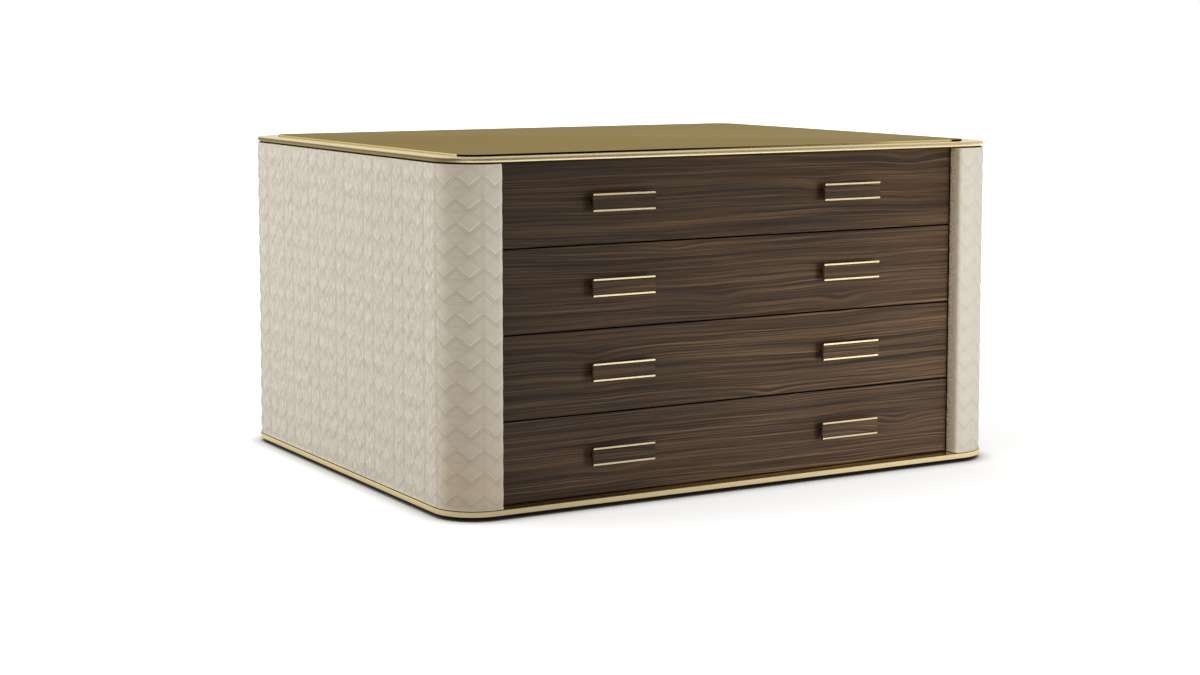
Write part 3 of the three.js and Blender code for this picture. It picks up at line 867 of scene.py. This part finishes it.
def relief(p, q):
    """Height of the leather over its stitched grooves: a puff in every second diamond and a low
    one in the rest, pressed down at the seams, with the ridge of the double rows and a slow wave
    that is strongest one column from the pad's ends."""
    column, row = (p + q) / 2, (p - q) / 2
    a, b = (p - 0.5) % 1, (0.5 - q) % 1
    tile_p, tile_q = np.floor(p + 0.5).astype(int), np.floor(q + 0.5).astype(int)
    full = (tile_p + tile_q) % 2 == 1
    puff = swell(a, PUFF_RISE, PUFF_FALL) * swell(b, PUFF_RISE, PUFF_FALL)
    puff = puff * SWELL * FULLNESS[tile_p % DRAWN, tile_q % DRAWN]
    low = LOW_SWELL * swell(a, LOW_RISE, LOW_RISE) * swell(b, LOW_RISE, LOW_RISE)
    seam = np.minimum(*seam_distances(column, row))
    low = low * (1 - SEAM_PULL * np.exp(-((seam / SEAM_REACH) ** 2)))
    stitched = RIDGE
    for share in (a, b):
        stitched = stitched * groove(np.minimum(share, 1 - share) * TILE)
    from_end = np.minimum(column, COLUMNS - column)
    wave = WAVE + EDGE_WAVE * np.exp(-((from_end - 1) ** 2))
    return wave * np.sin(math.pi * row) ** 2 + np.where(full, puff, low) + stitched


HEIGHT = relief(P, Q)
print("relief from", HEIGHT.min().round(2), "to", HEIGHT.max().round(2), "mm")

# %% Depth under the outermost line
FLOOR_LIFT = 2.9 * MM
LEAST_LIFT = 0.3 * MM, -0.9 * MM
SHALLOW, FADE_FROM, FADE_OVER = 0.4, 30 * MM, 45 * MM


def smooth(share):
    """0 at 0 and 1 at 1, level at both: three squares less two cubes."""
    return share * share * (3 - 2 * share)


def depth_scale(length):
    """Full depth on the front and side, fading to a shallow quilting on the return."""
    s = np.minimum(length, PAD_LENGTH - length)
    return SHALLOW + (1 - SHALLOW) * smooth(np.clip((s - FADE_FROM) / FADE_OVER, 0, 1))


def lift_of(length, height):
    """Metres inside the outermost line: the floor's less the height, and never less than the
    least that keeps the leather off its neighbours."""
    scale = depth_scale(length)
    least = np.interp(scale, (SHALLOW, 1), LEAST_LIFT)
    return np.maximum(scale * (FLOOR_LIFT - height * MM), least)


LENGTH = np.interp(COLUMN, COLUMN_AT, PLACES)
LEVEL = field_top - ROW * row_height
LIFT = lift_of(LENGTH, HEIGHT)
print("lifts from", round(LIFT.min() / MM, 2), "to", round(LIFT.max() / MM, 2), "mm")

# %% [markdown]
# The field is closed with a rolled edge at the top, a plain rolled hem at the foot, the hidden wall
# that lies against the wooden side, and a short plain strip at each end behind the drawer fronts.
# These share the field's border points, so that the weld leaves no open edge.
#
# A square of the lattice is cut in two along its upright diagonal where an upright seam runs, and
# along the level one elsewhere, so that no edge crosses a seam.

# %% Field of the pad
SLACK = 1e-6
KEPT = (COLUMN >= -0.5 - SLACK) & (COLUMN <= COLUMNS + 0.5 + SLACK)
KEPT &= (ROW >= -SLACK) & (ROW <= ROWS + SLACK)


def field_faces():
    """Triangles inside the field: two to a square, and one where the border halves it."""
    number = np.cumsum(KEPT.ravel()).reshape(KEPT.shape) - 1
    corners = [number[:-1, :-1], number[1:, :-1], number[1:, 1:], number[:-1, 1:]]
    inside = [KEPT[:-1, :-1], KEPT[1:, :-1], KEPT[1:, 1:], KEPT[:-1, 1:]]
    whole = inside[0] & inside[1] & inside[2] & inside[3]
    middle_p, middle_q = [(axis[:-1] + axis[1:]) / 2 for axis in (along_p, along_q)]
    near = np.round((middle_p[:, None] + middle_q[None, :]) / 2).astype(int)
    seamed = np.isin(near, UPRIGHT_SEAMS)
    cuts = [((0, 1, 3), whole & seamed), ((1, 2, 3), whole & seamed)]
    cuts += [((0, 1, 2), whole & ~seamed), ((0, 2, 3), whole & ~seamed)]
    for missing in range(4):
        order = [i for i in range(4) if i != missing]
        here = ~inside[missing] & inside[order[0]] & inside[order[1]] & inside[order[2]]
        cuts.append((order, here))
    cut = [np.stack([corners[i][here] for i in order], -1) for order, here in cuts]
    return np.concatenate(cut)


def border(chosen, sort_by):
    """Length, lift, level and column of the chosen points, in the order of sort_by."""
    order = np.argsort(sort_by[chosen])
    return [values[chosen][order] for values in (LENGTH, LIFT, LEVEL, COLUMN)]


FIELD_FACES = field_faces()
TOP_BORDER = border(KEPT & (np.abs(ROW) < SLACK), COLUMN)
FOOT_BORDER = border(KEPT & (np.abs(ROW - ROWS) < SLACK), COLUMN)
print("field of", int(KEPT.sum()), "points and", len(FIELD_FACES), "triangles")

# %% Rolled edge, hem and inner wall
HEM_ROLL, HEM_DEPTH, HEM_OUT, HEM_POWER = 4.6 * MM, 4.2 * MM, 0.9 * MM, 0.8
ROLL_STEPS, HEM_STEPS = 6, 10
turn = np.radians(np.linspace(0, 90, ROLL_STEPS + 1))
ROLL_LIFTS = RIM_ROLL * (1 - np.cos(turn))
ROLL_LEVELS = field_top + RIM_ROLL * np.sin(turn)
hem_turn = np.radians(np.linspace(0, 180, HEM_STEPS + 1))
HEM_LIFTS = FLOOR_LIFT + HEM_OUT - HEM_DEPTH * np.sin(hem_turn) ** HEM_POWER
HEM_LEVELS = BODY_FOOT + HEM_ROLL / 2 * (1 - np.cos(hem_turn))


def solid(side, lengths, lifts, levels, inner=False):
    """Points in space. side is 1 on the right and -1 in the mirror."""
    x, y = pad_line(lengths, lifts, inner)
    return np.stack(np.broadcast_arrays(side * x, y, levels), -1)


def wrap(side, lengths, lifts_top, lifts_foot):
    """Rows of points from the field's top, over the roll, down the inner wall, and up the hem to
    the field's foot. The roll is a quarter circle and the hem a flattened half circle."""
    scale = depth_scale(lengths)
    rows = [solid(side, lengths, lifts_top + r, z) for r, z in zip(ROLL_LIFTS, ROLL_LEVELS)]
    rows += [solid(side, lengths, PAD_DEPTH, z, True) for z in (BODY_TOP, BODY_FOOT)]
    rows += [solid(side, lengths, scale * h, z) for h, z in zip(HEM_LIFTS, HEM_LEVELS)]
    rows += [solid(side, lengths, lifts_foot, field_foot)]
    return np.array(rows)


print("hem", round(HEM_ROLL / MM, 1), "mm high, edge rolled to", round(RIM_ROLL / MM, 1), "mm")

# %% Pad builder
# The seam map holds its distances in units of SEAM_UNIT millimetres, and NO_SEAM is far from any.
SEAM_UNIT = 100
NO_SEAM = 0.5
PLAIN_LIFT = 1.2 * MM
STRIP_STEPS = 4


def add_field(shape, side):
    upright, level = seam_distances(COLUMN[KEPT], ROW[KEPT])
    shape.add(
        solid(side, LENGTH[KEPT], LIFT[KEPT], LEVEL[KEPT]),
        FIELD_FACES,
        leather=np.stack((LENGTH[KEPT], LEVEL[KEPT]), -1),
        quilt=np.stack((P[KEPT], Q[KEPT]), -1),
        seams=np.stack((upright, level), -1) / SEAM_UNIT,
    )


def add_girdle(shape, side):
    """The wrap along the whole field. Its map runs on upwards with the widest stride of a row."""
    lengths, lifts, _, columns = TOP_BORDER
    girdle = wrap(side, lengths, lifts, FOOT_BORDER[1])
    strides = np.linalg.norm(np.diff(girdle, axis=0), axis=2).max(1)
    across = np.concatenate(([0], np.cumsum(strides)))
    upright, _ = seam_distances(columns, np.zeros(len(columns)))
    seams = np.broadcast_arrays(upright / SEAM_UNIT, np.full(girdle.shape[:2], NO_SEAM))
    leather = np.broadcast_arrays(lengths, BODY_TOP + across[:, None])
    shape.grid(girdle, leather=np.stack(leather, -1), seams=np.stack(seams, -1))


def add_end(shape, side, edge, to_back):
    """A strip from one border of the field to the pad's end, where the quilting has faded to a
    plain lift, and one face across the end."""
    lengths, lifts, levels, _ = border(KEPT & (np.abs(COLUMN - edge) < SLACK), ROW)
    start = PAD_LENGTH - lengths[0] if to_back else lengths[0]
    loops, places = [], []
    for share in np.linspace(0, 1, STRIP_STEPS + 1):
        at = start * (1 - share)
        at = PAD_LENGTH - at if to_back else at
        faded = lifts * (1 - smooth(share)) + PLAIN_LIFT * smooth(share)
        belt = wrap(side, np.array([at]), faded[:1], faded[-1:])[:, 0]
        loops.append(np.concatenate((solid(side, at, faded, levels), belt[::-1][1:])))
        places.append(at)
    loops = np.array(loops)
    places = np.broadcast_to(np.array(places)[:, None], loops.shape[:2])
    leather = np.stack((places, loops[..., 2]), -1)
    seams = np.full(leather.shape, NO_SEAM)
    shape.grid(loops, leather=leather, seams=seams)
    shape.cap(loops[-1, :-1], leather=leather[-1, :-1], seams=seams[-1, :-1])


def pad_shape(side):
    """The whole pad as one closed shape."""
    shape = Shape("leather", "quilt", "seams")
    add_field(shape, side)
    add_girdle(shape, side)
    add_end(shape, side, -0.5, to_back=False)
    add_end(shape, side, COLUMNS + 0.5, to_back=True)
    return shape


print("strips", STRIP_STEPS, "steps long, ending", round(PLAIN_LIFT / MM, 1), "mm in")

# %% [markdown]
# ## Leather finish
#
# The leather is a matte greige hide. The seams are drawn from the pad's own maps: the quilt map
# gives the distance to the crossing rows, and the seam map the distance to the upright and level
# ones. Each row is a groove with short threads in it, slightly darker than the hide, and the
# groove is painted darker still as shade. A full diamond has a painted highlight near its lower
# edges, where it swells most, and painted shade in the fold that it hangs over. The pores are a
# fine cell pattern, and a slow cloud keeps the colour from looking printed.
#
# The light on the pads isn't even, and slow tones by place paint it in: painted warm light on the
# return beside the drawers, speckled with painted shade, painted shade at the left corner that
# grows to the foot, and weaker painted groove shade and highlights on the right front. Leather
# behind the fronts, under the frame and in the hem's fold is painted dark as shade.

# %% Stitching on the leather
STITCH_LENGTH, CREST_AT = 3.4, 6.0


def stitch_row(hide, distance, along):
    """A double row at a distance from its middle line, in millimetres: groove and threads."""
    off = abs(distance - STITCH_AT)
    pulled = (off * off * -1.3).exp()
    dash = hide.rise(abs((along / STITCH_LENGTH).fract() - 0.5), 0.36, 0.44)
    thread = (1 - hide.rise(off, 0.25, 0.5)) * (1 - dash)
    return pulled, thread


def diamonds(hide, p, q):
    """folded is 1 along the seams that a full diamond hangs over, where its shadow is painted, and
    0 along the others. crest_highlight is a bell CREST_AT above the lower edges of a full diamond,
    where a highlight is painted. above is the distance from a tile's lower edges, and below the
    distance from its upper ones."""
    part_p, part_q = (p + 0.5).fract(), (q + 0.5).fract()
    tile = (p + 0.5 - part_p) + (q + 0.5 - part_q)
    full = (tile / 2 + 0.25).fract() * 2 - 0.5
    above = (1 - part_p).least(part_q) * TILE
    below = part_p.least(1 - part_q) * TILE
    sagging = hide.rise(below - above, -0.5, 0.5)
    folded = full * sagging + (1 - full) * (1 - sagging)
    crest_highlight = full * (((above - CREST_AT) * (above - CREST_AT)) * -0.35).exp()
    return folded, crest_highlight


def stitching(hide, s, z, flank):
    """pulled is 1 in the grooves, weaker on some rows and strongest where a full diamond's painted
    shadow falls, thread is 1 on the threads, and crest_highlight is as diamonds gives it. pulled
    also sets the painted groove shade."""
    p, q = hide.uv("quilt")
    upright, level = hide.uv("seams")
    folded, crest_highlight = diamonds(hide, p, q)
    rows = [
        stitch_row(hide, abs(p.fract() - 0.5) * TILE, q * TILE),
        stitch_row(hide, abs(q.fract() - 0.5) * TILE, p * TILE),
        stitch_row(hide, upright * SEAM_UNIT, z * 1000),
        stitch_row(hide, level * SEAM_UNIT, s * 1000),
    ]
    crossing = rows[0][0].most(rows[1][0]) * (folded * 0.75 + 0.25) * (1 - flank * 0.35)
    pulled = crossing.most(rows[2][0] * (flank * 0.55 + 0.7)).most(rows[3][0] * 0.6)
    thread = rows[0][1]
    for _, other in rows[1:]:
        thread = thread.most(other)
    return pulled, thread, crest_highlight


print("a stitch every", STITCH_LENGTH, "mm")

# %% Tones of the leather
def hide_colour(hide, s, z, mottle, flank):
    """A pale and a dark greige mixed by a cloud and a mottle, with streaks on the flank."""
    cloud = hide.noise(s * 5, z * 5, 0, 3)
    base = hide.mix(cloud, colour(204, 197, 184), colour(214, 207, 195))
    base = hide.mix(mottle * 0.35, base, colour(196, 188, 173))
    streaks = hide.noise(s * 190, z * 34, 5, 2, 0.6)
    base = hide.mix(hide.rise(streaks, 0.5, 0.66) * 0.5 * flank, base, colour(236, 231, 221))
    return hide.mix(hide.rise(-streaks, -0.5, -0.34) * 0.5 * flank, base, colour(178, 168, 148))


def painted_return_light(hide, base, s, z, far):
    """far is the length from the pad's nearer end: painted warm light on the return, with painted
    shade speckled near its inner end.
    """
    painted_light = 1 - hide.rise(far, 34 * MM, 62 * MM)
    shaded = 1 - hide.rise(far, 8 * MM, 50 * MM)
    speckle = hide.rise(hide.noise(s * 130, z * 150, 8, 2, 0.6), 0.44, 0.6)
    base = hide.mix(painted_light * 0.85, base, colour(250, 241, 222))
    return hide.mix(shaded * (speckle * 0.45 + 0.25), base, colour(166, 142, 104))


def painted_corner_shade(hide, base, east, height, flank):
    """The left corner and its short front are painted darker as shade, most of all at the foot."""
    corner = (1 - flank) * hide.rise(-east, 0, 0.1)
    foot = 1 - hide.rise(height, 0.02, 0.5)
    return hide.mix(corner * (foot * 0.34 + 0.10), base, colour(164, 144, 110))


def painted_recess_shade(hide, far, height):
    """Painted shade: 1 behind the fronts, on the rolled edge under the frame and in the hem's fold,
    where shade falls.
    """
    behind = 1 - hide.rise(far, FIELD_START - 1 * MM, FIELD_START)
    rolled = hide.rise(height, BODY_TOP - 1.2 * MM, BODY_TOP - 0.6 * MM)
    sewn_under = 1 - hide.rise(height, BODY_FOOT + 0.9 * MM, BODY_FOOT + 1.5 * MM)
    return behind.most(rolled).most(sewn_under)


# %% Leather
PORES = 620
HIDE_DEPTH = 0.5 * MM


def leather():
    hide = Finish("greige_leather", Roughness=0.6, Specular_IOR_Level=0.35)
    s, z = hide.uv("leather")
    east, _, height = hide.place()
    far = s.least(PAD_LENGTH - s)
    flank = hide.rise(far, TURN_END - 60 * MM, TURN_END)
    # Painted highlights and groove shade are weaker on the right front, where light from the front
    # washes them out.
    clear = 1 - hide.rise(east, 0, 0.1) * (1 - flank) * 0.65
    pulled, thread, crest_highlight = stitching(hide, s, z, flank)
    cells = hide.node(
        "ShaderNodeTexVoronoi",
        {"feature": "DISTANCE_TO_EDGE"},
        {"Vector": hide.vector(s, z, 0), "Scale": PORES},
    )
    crease = 1 - hide.rise(cells, 0.0, 0.12)
    fine = hide.noise(s * 1500, z * 1500, 0, 2)
    mottle = hide.noise(s * 60, z * 60, 3, 3)
    base = hide_colour(hide, s, z, mottle, flank)
    # A painted highlight on the full diamonds' crests.
    base = hide.mix(crest_highlight * clear * 0.45, base, colour(236, 230, 218))
    # Darker pore edges, and painted shade in the stitched grooves.
    base = hide.mix(crease * 0.10 + pulled * clear * 0.36, base, colour(128, 114, 92))
    base = hide.mix(thread * 0.3, base, colour(176, 166, 148))
    # Painted warm light and speckled painted shade on the return beside the drawers.
    base = painted_return_light(hide, base, s, z, far)
    # Painted shade at the left corner, growing to the foot.
    base = painted_corner_shade(hide, base, east, height, flank)
    # Painted shade in the gaps behind the fronts, under the frame and in the hem's fold.
    recess_shade = painted_recess_shade(hide, far, height)
    hide.set("Base Color", hide.mix(recess_shade, base, colour(38, 30, 24)))
    hide.set("Roughness", 0.55 + fine * 0.12 + pulled * 0.1)
    surface = thread * 0.4 - pulled * 0.6 - crease * 0.12 + fine * 0.1 + mottle * 0.12
    hide.bump(surface, HIDE_DEPTH)
    return hide.material


LEATHER = leather()
print("leather has", len(LEATHER.node_tree.nodes), "nodes")

# %% Pads
for side, name in ((1, "right"), (-1, "left")):
    cover = pad_shape(side).build(
        f"{name}_quilted_cover", LEATHER, "carcass", "quilted_leather", [f"{name}_pad"], sharp=0
    )

# %% [markdown]
# ## The pulls
#
# Each pull is a brass channel whose two lips face the room as slim bars, with a walnut slip between
# them and two posts behind. The section is drawn once and carried along X, and a bevel modifier
# breaks its long edges so that they catch the light as the real bars do.

# %% Pull builder
CHANNEL_DEPTH, WEB, LIP_HEIGHT = 8.5 * MM, 2 * MM, 4.6 * MM
POST_RADIUS, POST_OFFSET, POST_SIDES = 5 * MM, 80 * MM, 24
BAR_STEPS = 8


def pull_shape(node):
    """A channel section carried between the ends of the node's box, and two round posts."""
    low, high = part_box(node)
    x0, x1 = low.x, high.x
    face, wall = low.y, high.y
    middle = (low.z + high.z) / 2
    half = (high.z - low.z) / 2
    web_back = face + CHANNEL_DEPTH
    web_face = web_back - WEB
    inner = half - LIP_HEIGHT
    section = np.array(
        [
            (face, -half),
            (web_back, -half),
            (web_back, half),
            (face, half),
            (face, inner),
            (web_face, inner),
            (web_face, -inner),
            (face, -inner),
            (face, -half),
        ]
    )
    stations = np.linspace(x0, x1, BAR_STEPS + 1)
    shape = Shape("run")
    points = np.empty((len(stations), len(section), 3))
    points[..., 0] = stations[:, None]
    points[..., 1] = section[:, 0]
    points[..., 2] = middle + section[:, 1]
    strides = np.linalg.norm(np.diff(section, axis=0), axis=1)
    across = np.concatenate(([0], np.cumsum(strides)))
    run = np.stack(np.broadcast_arrays(stations[:, None], across[None, :]), -1)
    shape.grid(points, run=run)
    for end in (0, -1):
        shape.cap(points[end, :-1], run=run[end, :-1])
    turn = np.linspace(0, 2 * math.pi, POST_SIDES + 1)
    for sign in (-1, 1):
        centre = (x0 + x1) / 2 + sign * POST_OFFSET
        ends = np.array([web_back - WEB / 2, wall])
        post = np.empty((2, len(turn), 3))
        post[..., 0] = centre + POST_RADIUS * np.cos(turn)
        post[..., 1] = ends[:, None]
        post[..., 2] = middle + POST_RADIUS * np.sin(turn)
        shape.grid(post, run=post[..., :2])
        for end in (0, 1):
            shape.cap(post[end, :-1], run=post[end, :-1, :2])
    return shape


# %% Pulls
SOFT_EDGE, SOFT_STEPS, SOFT_FROM = 0.6 * MM, 3, math.radians(50)
for n in DRAWERS:
    for side in ("left", "right"):
        node = f"drawer_{n}_pull_{side}"
        pull = pull_shape(node).build(
            f"pull_{n}_{side}", PULL_BRASS, f"drawer_{n}", "champagne_brass", [node]
        )
        soften = pull.modifiers.new("soft edges", "BEVEL")
        soften.width = SOFT_EDGE
        soften.segments = SOFT_STEPS
        soften.limit_method = "ANGLE"
        soften.angle_limit = SOFT_FROM

# %% [markdown]
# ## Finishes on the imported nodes
#
# The flat fronts, slips, boxes, boards and runners already have the right form, so they keep their
# meshes and only get their finishes.

# %% Finishes by node name
FINISHES = {
    "plinth": LACQUER,
    "base_board": CARCASS,
    "top_board": CARCASS,
    "left_side": CARCASS,
    "right_side": CARCASS,
    "bay_back": CARCASS,
    "back_panel": WALNUT,
}
for n in DRAWERS:
    FINISHES[f"drawer_{n}_front"] = WALNUT
    FINISHES[f"drawer_{n}_box"] = DRAWER
    for side in ("left", "right"):
        FINISHES[f"drawer_{n}_pull_slip_{side}"] = SLIP_WALNUT
        for member in ("outer", "middle", "inner"):
            FINISHES[f"runner_{n}_{member}_{side}"] = STEEL

for node, material in FINISHES.items():
    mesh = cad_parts[node].data
    mesh.materials.clear()
    mesh.materials.append(material)
print(len(FINISHES), "packed nodes finished")

# %% [markdown]
# ## The studio
#
# The photograph was made on white, with soft light from above and from both sides and little from
# the camera's side, so the front is a shade darker than the flanks. The floor is a plain pale sheet
# that darkens where the island shades it. To the camera and to mirrors it also glows, fully white
# further out, and the world is white to them and softer to everything else. Four dark cards stand
# and lie in front and on the left. Only mirrors see them, and they give the metal something to
# show.

# %% Stage helpers
def plane(name, corners, material):
    mesh = bpy.data.meshes.new(name)
    mesh.from_pydata(corners, [], [(0, 1, 2, 3)])
    mesh.materials.append(material)
    made = bpy.data.objects.new(name, mesh)
    bpy.context.scene.collection.objects.link(made)
    return made


def seen_directly(tree):
    """1 for rays from the camera, from a mirror or through glass, and 0 for the rest."""
    path = tree.nodes.new("ShaderNodeLightPath")
    ways = ["Is Camera Ray", "Is Glossy Ray", "Is Transmission Ray"]
    total = path.outputs[ways[0]]
    for way in ways[1:]:
        most = tree.nodes.new("ShaderNodeMath")
        most.operation = "MAXIMUM"
        tree.links.new(total, most.inputs[0])
        tree.links.new(path.outputs[way], most.inputs[1])
        total = most.outputs[0]
    return total


# %% Floor
REACH = 40
GLOW_FROM, GLOW_FULL = 1.3, 4.5
SHADE_REACH = 0.05
paper = Finish("floor_paper", Roughness=0.9, Specular_IOR_Level=0, Emission_Strength=1)
x, y, z = paper.place()
away = paper.rise((x * x + y * y) ** 0.5, GLOW_FROM, GLOW_FULL)
open_floor = paper.node(
    "ShaderNodeAmbientOcclusion", {"samples": 8}, {"Distance": SHADE_REACH}, out=1
)
# The floor's colour is painted dark as contact shadow where little is open above it, and its glow
# is dimmed there too, as a painted shadow.
covered = paper.rise(open_floor, 0.16, 0.48)
paper.set("Base Color", paper.mix(covered, (0.03, 0.027, 0.025, 1), (0.6, 0.6, 0.595, 1)))
glow = Value(paper, seen_directly(paper.tree)) * (open_floor * open_floor * 0.54 + away)
paper.set("Emission Color", paper.vector(glow, glow, glow))
plane(
    "floor",
    [(-REACH, -REACH, 0), (REACH, -REACH, 0), (REACH, REACH, 0), (-REACH, REACH, 0)],
    paper.material,
)
print("floor", 2 * REACH, "m wide")

# %% Dark cards
# A card stands from one place on the floor plan to another, or lies where it is spread into the
# room by some metres along X or Y.
CARD_FOOT, CARD_TOP = 0.004, 3.2
CARD_SPREAD = 2.6
FAR_CORNER, RIGHT_END, LEFT_END = (-12, -12), (9.2, -12), (-12, -0.6)
card_paint = Finish("card_paint", Roughness=0.9, Specular_IOR_Level=0)
card_paint.set("Base Color", (0.02, 0.02, 0.02, 1))
for name, start, end, spread in (
    ("front_card", FAR_CORNER, RIGHT_END, (0, 0)),
    ("left_card", LEFT_END, FAR_CORNER, (0, 0)),
    ("front_floor_card", FAR_CORNER, RIGHT_END, (0, CARD_SPREAD)),
    ("left_floor_card", LEFT_END, FAR_CORNER, (CARD_SPREAD, 0)),
):
    top = CARD_FOOT if any(spread) else CARD_TOP
    far_end, far_start = [(x + spread[0], y + spread[1], top) for x, y in (end, start)]
    corners = [(*start, CARD_FOOT), (*end, CARD_FOOT), far_end, far_start]
    card = plane(name, corners, card_paint.material)
    card.visible_camera = card.visible_diffuse = card.visible_shadow = False
print("cards", CARD_TOP, "m high")

# %% World
SOFT_LEVEL = 0.24
world = bpy.data.worlds.new("studio")
bpy.context.scene.world = world
world.use_nodes = True
tree = world.node_tree
soft = tree.nodes["Background"]
soft.inputs["Color"].default_value = (1, 0.995, 0.985, 1)
soft.inputs["Strength"].default_value = SOFT_LEVEL
white = tree.nodes.new("ShaderNodeBackground")
white.inputs["Color"].default_value = (1, 1, 1, 1)
white.inputs["Strength"].default_value = 1
choose = tree.nodes.new("ShaderNodeMixShader")
tree.links.new(seen_directly(tree), choose.inputs["Fac"])
tree.links.new(soft.outputs[0], choose.inputs[1])
tree.links.new(white.outputs[0], choose.inputs[2])
tree.links.new(choose.outputs[0], tree.nodes["World Output"].inputs["Surface"])
print("world at", SOFT_LEVEL)

# %% Lamps
def softbox(name, place, target, size, power, tint=(1, 1, 1)):
    """A rectangular lamp of a size in metres and a power in watts, turned to its target. The camera
    and the mirrors don't see it."""
    lamp = bpy.data.lights.new(name, "AREA")
    lamp.shape = "RECTANGLE"
    lamp.size, lamp.size_y = size
    lamp.energy = power
    lamp.color = tint
    made = bpy.data.objects.new(name, lamp)
    bpy.context.scene.collection.objects.link(made)
    made.location = place
    toward = Vector(target) - Vector(place)
    made.rotation_euler = toward.to_track_quat("-Z", "Y").to_euler()
    made.visible_camera = made.visible_glossy = False
    print(name, power, "W")


COOL, WARM = (0.97, 0.985, 1), (1, 0.86, 0.68)
softbox("left_light", (-5.0, 2.6, 2.8), (-0.5, 0, 0.4), (3.5, 3), 172)
softbox("right_light", (1.5, -3.3, 0.62), (0.3, -0.5, 0.4), (0.9, 0.9), 57, COOL)
softbox("top_light", (0, 0.2, 5), (0, 0, 0.8), (4.5, 4.5), 175)
softbox("front_fill", (-7, -6, 2.4), (0, 0, 0.4), (6, 3), 134, WARM)

view = bpy.context.scene.view_settings
view.view_transform = "Standard"
